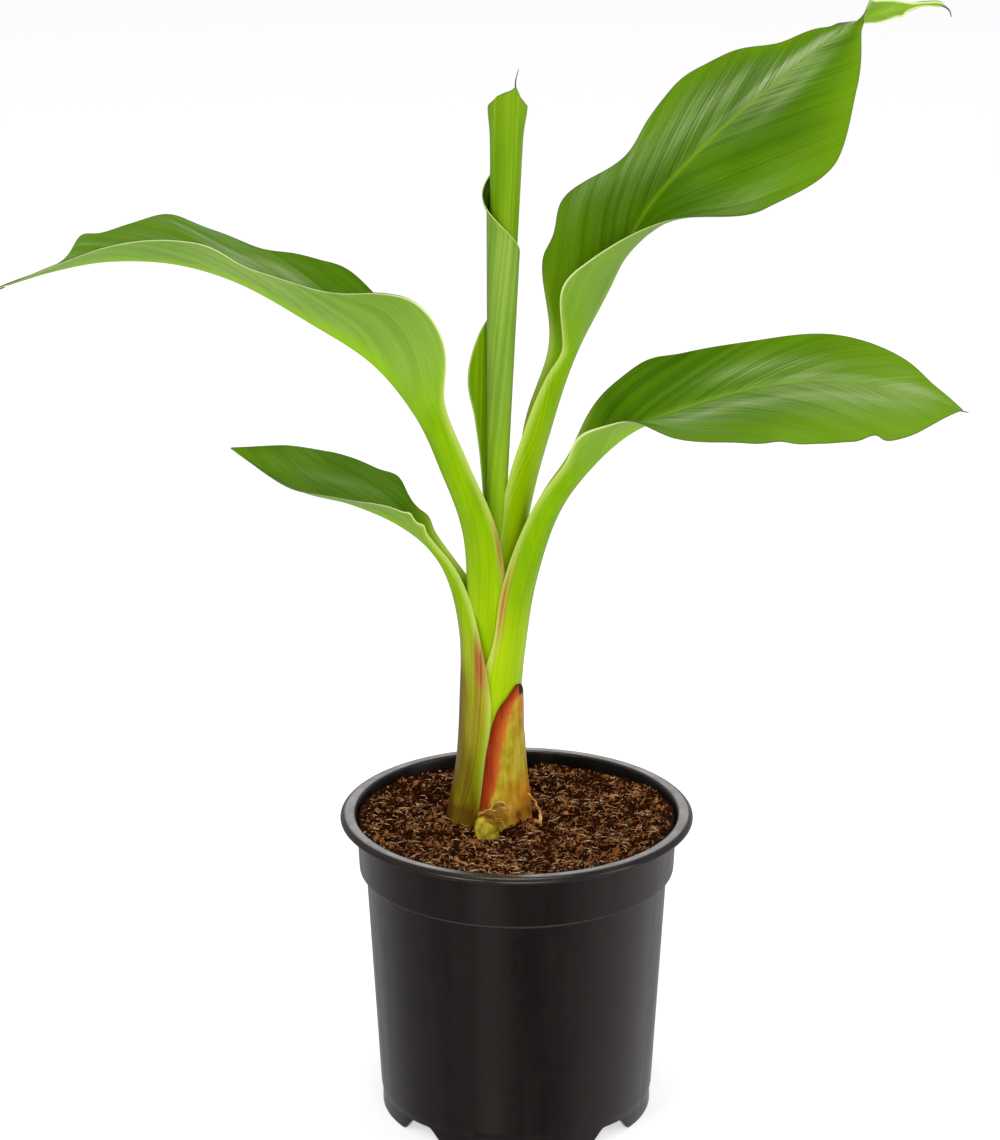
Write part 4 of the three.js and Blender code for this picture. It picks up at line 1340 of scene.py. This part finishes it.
def spread_out(count, reach, patch):
    """Random places on the soil, even over its disc. Those under the stem are left out, and of the
    rest a share that grows with the smooth random patches of that sign and strength."""
    radius = reach * np.sqrt(rng.random(count))
    angle = 2 * np.pi * rng.random(count)
    x, y = radius * np.cos(angle), radius * np.sin(angle)
    free = from_stem(x, y) > STEM_CLEARANCE
    place = np.stack([x, y], -1)
    bright = 0.45 * lumps(place, 8.0, 2) + 0.7 * lumps(place, 3.6, 6)
    free &= rng.random(count) < 0.5 + patch * bright
    return x[free], y[free]


def random_turns(count):
    """Random turning matrices from random unit quaternions."""
    w, x, y, z = unit(rng.normal(size=(count, 4))).T
    return np.stack(
        [
            np.stack([1 - 2 * (y * y + z * z), 2 * (x * y - z * w), 2 * (x * z + y * w)], -1),
            np.stack([2 * (x * y + z * w), 1 - 2 * (x * x + z * z), 2 * (y * z - x * w)], -1),
            np.stack([2 * (x * z - y * w), 2 * (y * z + x * w), 1 - 2 * (x * x + y * y)], -1),
        ],
        1,
    )


# Lump with twelve corners and twenty faces: three golden rectangles that cross.
GOLD = (1 + math.sqrt(5)) / 2
LUMP_POINTS = unit(
    np.array(
        [[-1, GOLD, 0], [1, GOLD, 0], [-1, -GOLD, 0], [1, -GOLD, 0], [0, -1, GOLD], [0, 1, GOLD]]
        + [[0, -1, -GOLD], [0, 1, -GOLD], [GOLD, 0, -1], [GOLD, 0, 1], [-GOLD, 0, -1], [-GOLD, 0, 1]]
    )
)
LUMP_FACES = np.array(
    [[0, 11, 5], [0, 5, 1], [0, 1, 7], [0, 7, 10], [0, 10, 11], [1, 5, 9], [5, 11, 4], [11, 10, 2]]
    + [[10, 7, 6], [7, 1, 8], [3, 9, 4], [3, 4, 2], [3, 2, 6], [3, 6, 8], [3, 8, 9], [4, 9, 5]]
    + [[2, 4, 11], [6, 2, 10], [8, 6, 7], [9, 8, 1]]
)
FIBRE_ROWS = 6
FIBRE_SIDES = 4
FIBRE_LIFT = 0.6
WALL_CLEARANCE = 6
STEM_CLEARANCE = 0.5


def repeated(faces, corners, count):
    """Corner numbers of a small mesh that is repeated, each copy's raised by the corners before."""
    return (faces[None] + corners * np.arange(count)[:, None, None]).reshape(-1, faces.shape[1])


def crumbs(name, count, low, high, patch, finish):
    """Crumbs of the mix: twelve-cornered lumps with each corner pushed in or out, stretched, turned
    at random and set on the surface."""
    x, y = spread_out(count, SOIL_RADIUS - high, patch)
    count, corners = len(x), len(LUMP_POINTS)
    size = low * (high / low) ** (rng.random(count) ** 2)
    widths = [np.ones(count), rng.uniform(0.3, 0.8, count), rng.uniform(0.2, 0.6, count)]
    stretch = size[:, None] * np.stack(widths, -1)
    shape = LUMP_POINTS[None] * rng.uniform(0.5, 1.35, (count, corners, 1)) * stretch[:, None]
    shape = np.einsum("nij,nkj->nki", random_turns(count), shape)
    centre = np.stack([x, y, soil_height(x, y) + 0.35 * size], -1)
    points = shape + centre[:, None]
    make_piece(name, points, repeated(LUMP_FACES, corners, count), finish)


def fibres(name, count, low, high, thick, patch, finish):
    """Fibres of the mix: four-sided threads along bent arcs that lie on the surface, thinner at both
    ends."""
    x, y = spread_out(count, SOIL_RADIUS - WALL_CLEARANCE, patch)
    count = len(x)
    length = rng.uniform(low, high, count)[:, None]
    heading = 2 * np.pi * rng.random(count)
    ahead = np.stack([np.cos(heading), np.sin(heading)], -1)[:, None]
    aside = np.stack([-ahead[..., 1], ahead[..., 0]], -1)
    t = np.linspace(-0.5, 0.5, FIBRE_ROWS)[None]
    bend = rng.uniform(-0.5, 0.5, (count, 1))
    run, sway = length * t, length * bend * (t**2 - 0.1)
    plan = np.stack([x, y], -1)[:, None] + ahead * run[..., None] + aside * sway[..., None]
    arch = rng.uniform(-0.3, 0.7, (count, 1)) * length * (0.25 - t**2)
    tilt = rng.uniform(-0.1, 0.25, (count, 1)) * run
    height = soil_height(x, y)[:, None] + FIBRE_LIFT + arch + tilt
    path = np.concatenate([plan, height[..., None]], -1)
    corner = np.arange(FIBRE_SIDES) * 2 * np.pi / FIBRE_SIDES
    width = thick * rng.uniform(0.6, 1.3, (count, 1)) * (1 - 3.2 * t**2)
    sideways = np.concatenate([aside, np.zeros((count, 1, 1))], -1)[:, None]
    section = np.cos(corner)[:, None] * sideways + np.sin(corner)[:, None] * np.array([0, 0, 1.0])
    points = path[:, :, None] + width[..., None, None] * section
    thread = shell_faces(FIBRE_ROWS, FIBRE_SIDES)
    make_piece(name, points, repeated(thread, FIBRE_ROWS * FIBRE_SIDES, count), finish)


# Crumbs: kind, number, smallest and largest size, pull towards bright patches, dark and light tint.
CRUMBS = [
    ("clumps_dark", 240, 1.8, 3.6, -0.2, (20, 7, 2), (64, 32, 13)),
    ("clumps_brown", 240, 1.8, 3.8, 0.3, (88, 49, 20), (166, 108, 60)),
    ("bark_bits", 60, 1.6, 3.4, 0.0, (112, 68, 30), (186, 130, 76)),
    ("crumbs_dark", 10500, 0.5, 1.9, -0.3, (24, 6, 1), (68, 30, 10)),
    ("crumbs_brown", 8000, 0.4, 1.6, 0.3, (84, 45, 19), (168, 107, 59)),
    ("crumbs_tan", 2800, 0.35, 1.1, 0.4, (162, 112, 68), (244, 204, 152)),
    # Painted glints: near-white specks that stand for wet highlights on the mix.
    ("specks_pale", 260, 0.3, 0.8, 0.3, (200, 186, 160), (240, 234, 220)),
]
# Fibres: kind, number, shortest and longest, thickness, pull, dark and light tint.
FIBRES = [
    ("fibres_dark", 5600, 2, 6, 0.28, -0.3, (24, 6, 1), (68, 31, 11)),
    ("fibres_brown", 4600, 1.5, 6, 0.22, 0.3, (90, 51, 23), (174, 115, 66)),
    ("fibres_tan", 2800, 1.5, 7, 0.18, 0.4, (166, 118, 74), (246, 212, 166)),
]

# Stage, in metres

# Lights: name, place, aim, size, power, and whether only gloss sees it.
LIGHTS = [
    ("key", (-1.3, -1.5, 1.9), (0, 0, 0.3), (0.9, 0.9), 14, False),
    ("front", (0.2, -2.7, 1.3), (0, 0, 0.3), (1.5, 1.2), 34, False),
    ("side", (1.8, -0.6, 1.1), (0, 0, 0.3), (0.6, 1.4), 8, False),
    ("top", (0.0, 0.25, 1.9), (0, 0, 0.35), (0.7, 0.5), 7, False),
    ("rim_card", (0.0, 2.7, 1.4), (0, 0, 0.15), (1.8, 1.1), 15.5, True),
]
SKY_GLOW = 0.5
GROUND_GLOW = 0.16
HORIZON = 0.1
# Glow below the horizon to the right, to the left, behind and straight down: axis of the direction,
# where the glow starts and is full, and strength.
GLOWS = [
    ("X", 0.3, 1.0, 0.5),
    ("X", -0.4, -1.0, 0.16),
    ("Y", -0.2, 0.8, 0.35),
    ("Z", -0.75, -0.97, 0.8),
]
PATCH_DIRECTION = (-0.32, -0.795, -0.515)
PATCH_EDGE = 0.955
PATCH_GLOW = 0.45
FLOOR_CORNERS = [(-8, -6, 0), (8, -6, 0), (8, 14, 0), (-8, 14, 0)]
FLOOR_TINT = (0.7, 0.7, 0.7, 1)
FLOOR_GLOW = 0.55
WHITE = (1, 1, 1, 1)
CAMERA_PLACE = (-0.008, -2.2, 1.054)
CAMERA_TILT = 70.5
CAMERA_LENS = 155.5
CAMERA_SENSOR = 36.0
CAMERA_NEAR, CAMERA_FAR = 0.05, 60


def area_light(name, place, aim, size, power, gloss_only):
    """Soft light at a place, turned to its aim. One for gloss only is a card that polished faces
    mirror and that lights nothing else."""
    data = bpy.data.lights.new(name, "AREA")
    data.shape = "RECTANGLE"
    data.size, data.size_y = size
    data.energy = power
    light = bpy.data.objects.new(name, data)
    light.visible_camera = False
    light.visible_diffuse = not gloss_only
    bpy.context.scene.collection.objects.link(light)
    x, y, z = np.array(aim, float) - np.array(place, float)
    light.location = place
    light.rotation_euler = (math.atan2(math.hypot(x, y), -z), 0, math.atan2(-x, y))


def surroundings():
    """Even white light from above, and a dim glow below the horizon that only gloss sees: brighter to
    both sides, behind and straight down, with one soft patch ahead."""
    world = bpy.data.worlds.new("surroundings")
    world.use_nodes = True
    n = Nodes(world.node_tree)
    direction = n.add("TexCoord", {}, "Generated")
    parts = {axis: n.add("SeparateXYZ", {0: direction}, axis) for axis in "XYZ"}
    aimed = {0: direction, 1: PATCH_DIRECTION}
    ahead = n.add("VectorMath", aimed, "Value", operation="DOT_PRODUCT")
    glows = [n.step(parts[axis], low, high, 0.0, much) for axis, low, high, much in GLOWS]
    glows.append(n.step(ahead, PATCH_EDGE, 1.0, 0.0, PATCH_GLOW))
    ground = n.blend((GROUND_GLOW, 1.0), *((glow, 1.0) for glow in glows))
    strength = n.between(n.step(parts["Z"], -HORIZON, HORIZON), ground, SKY_GLOW)
    background = n.tree.nodes["Background"]
    background.inputs["Color"].default_value = WHITE
    n.tree.links.new(strength, background.inputs["Strength"])
    return world


def stage():
    """Pale floor, even pale surroundings, soft lights and the camera."""
    scene = bpy.context.scene
    scene.view_settings.view_transform = "Standard"
    f = Finish("floor", 0.9, 0.1)
    f.shader.inputs["Base Color"].default_value = FLOOR_TINT
    f.shader.inputs["Emission Color"].default_value = WHITE
    f.shader.inputs["Emission Strength"].default_value = FLOOR_GLOW
    mesh = bpy.data.meshes.new("floor")
    mesh.from_pydata(FLOOR_CORNERS, [], [(0, 1, 2, 3)])
    mesh.materials.append(f.material)
    floor = bpy.data.objects.new("floor", mesh)
    scene.collection.objects.link(floor)
    floor.visible_glossy = False
    scene.world = surroundings()
    for light in LIGHTS:
        area_light(*light)
    lens = bpy.data.cameras.new("camera")
    lens.lens = CAMERA_LENS
    lens.sensor_width = CAMERA_SENSOR
    lens.clip_start = CAMERA_NEAR
    lens.clip_end = CAMERA_FAR
    camera = bpy.data.objects.new("camera", lens)
    scene.collection.objects.link(camera)
    camera.location = CAMERA_PLACE
    camera.rotation_euler = (math.radians(CAMERA_TILT), 0, 0)
    scene.camera = camera


stage()
leaf_tint = leaf_finish()
for leaf_name, leaf_data in LEAVES.items():
    leaf_pieces(leaf_name, leaf_data, leaf_tint)
stem_piece(leaf_tint)
stub_piece(stub_finish())
bud_piece(bud_finish())
scrap_tint = scrap_finish()
for scrap_number, scrap in enumerate(SCRAPS, 1):
    scrap_piece(scrap_number, *scrap, scrap_tint)
roll_piece(roll_finish())
thread_tint = thread_finish()
for thread in THREADS:
    thread_piece(*thread, thread_tint)
pot_piece(pot_finish())
soil_piece(mix_finish("mix_dark", (18, 4, 1), (50, 21, 6)))
for kind, *amounts, dark, light in CRUMBS:
    crumbs("soil_" + kind, *amounts, mix_finish(kind, dark, light))
for kind, *amounts, dark, light in FIBRES:
    fibres("soil_" + kind, *amounts, mix_finish(kind, dark, light))
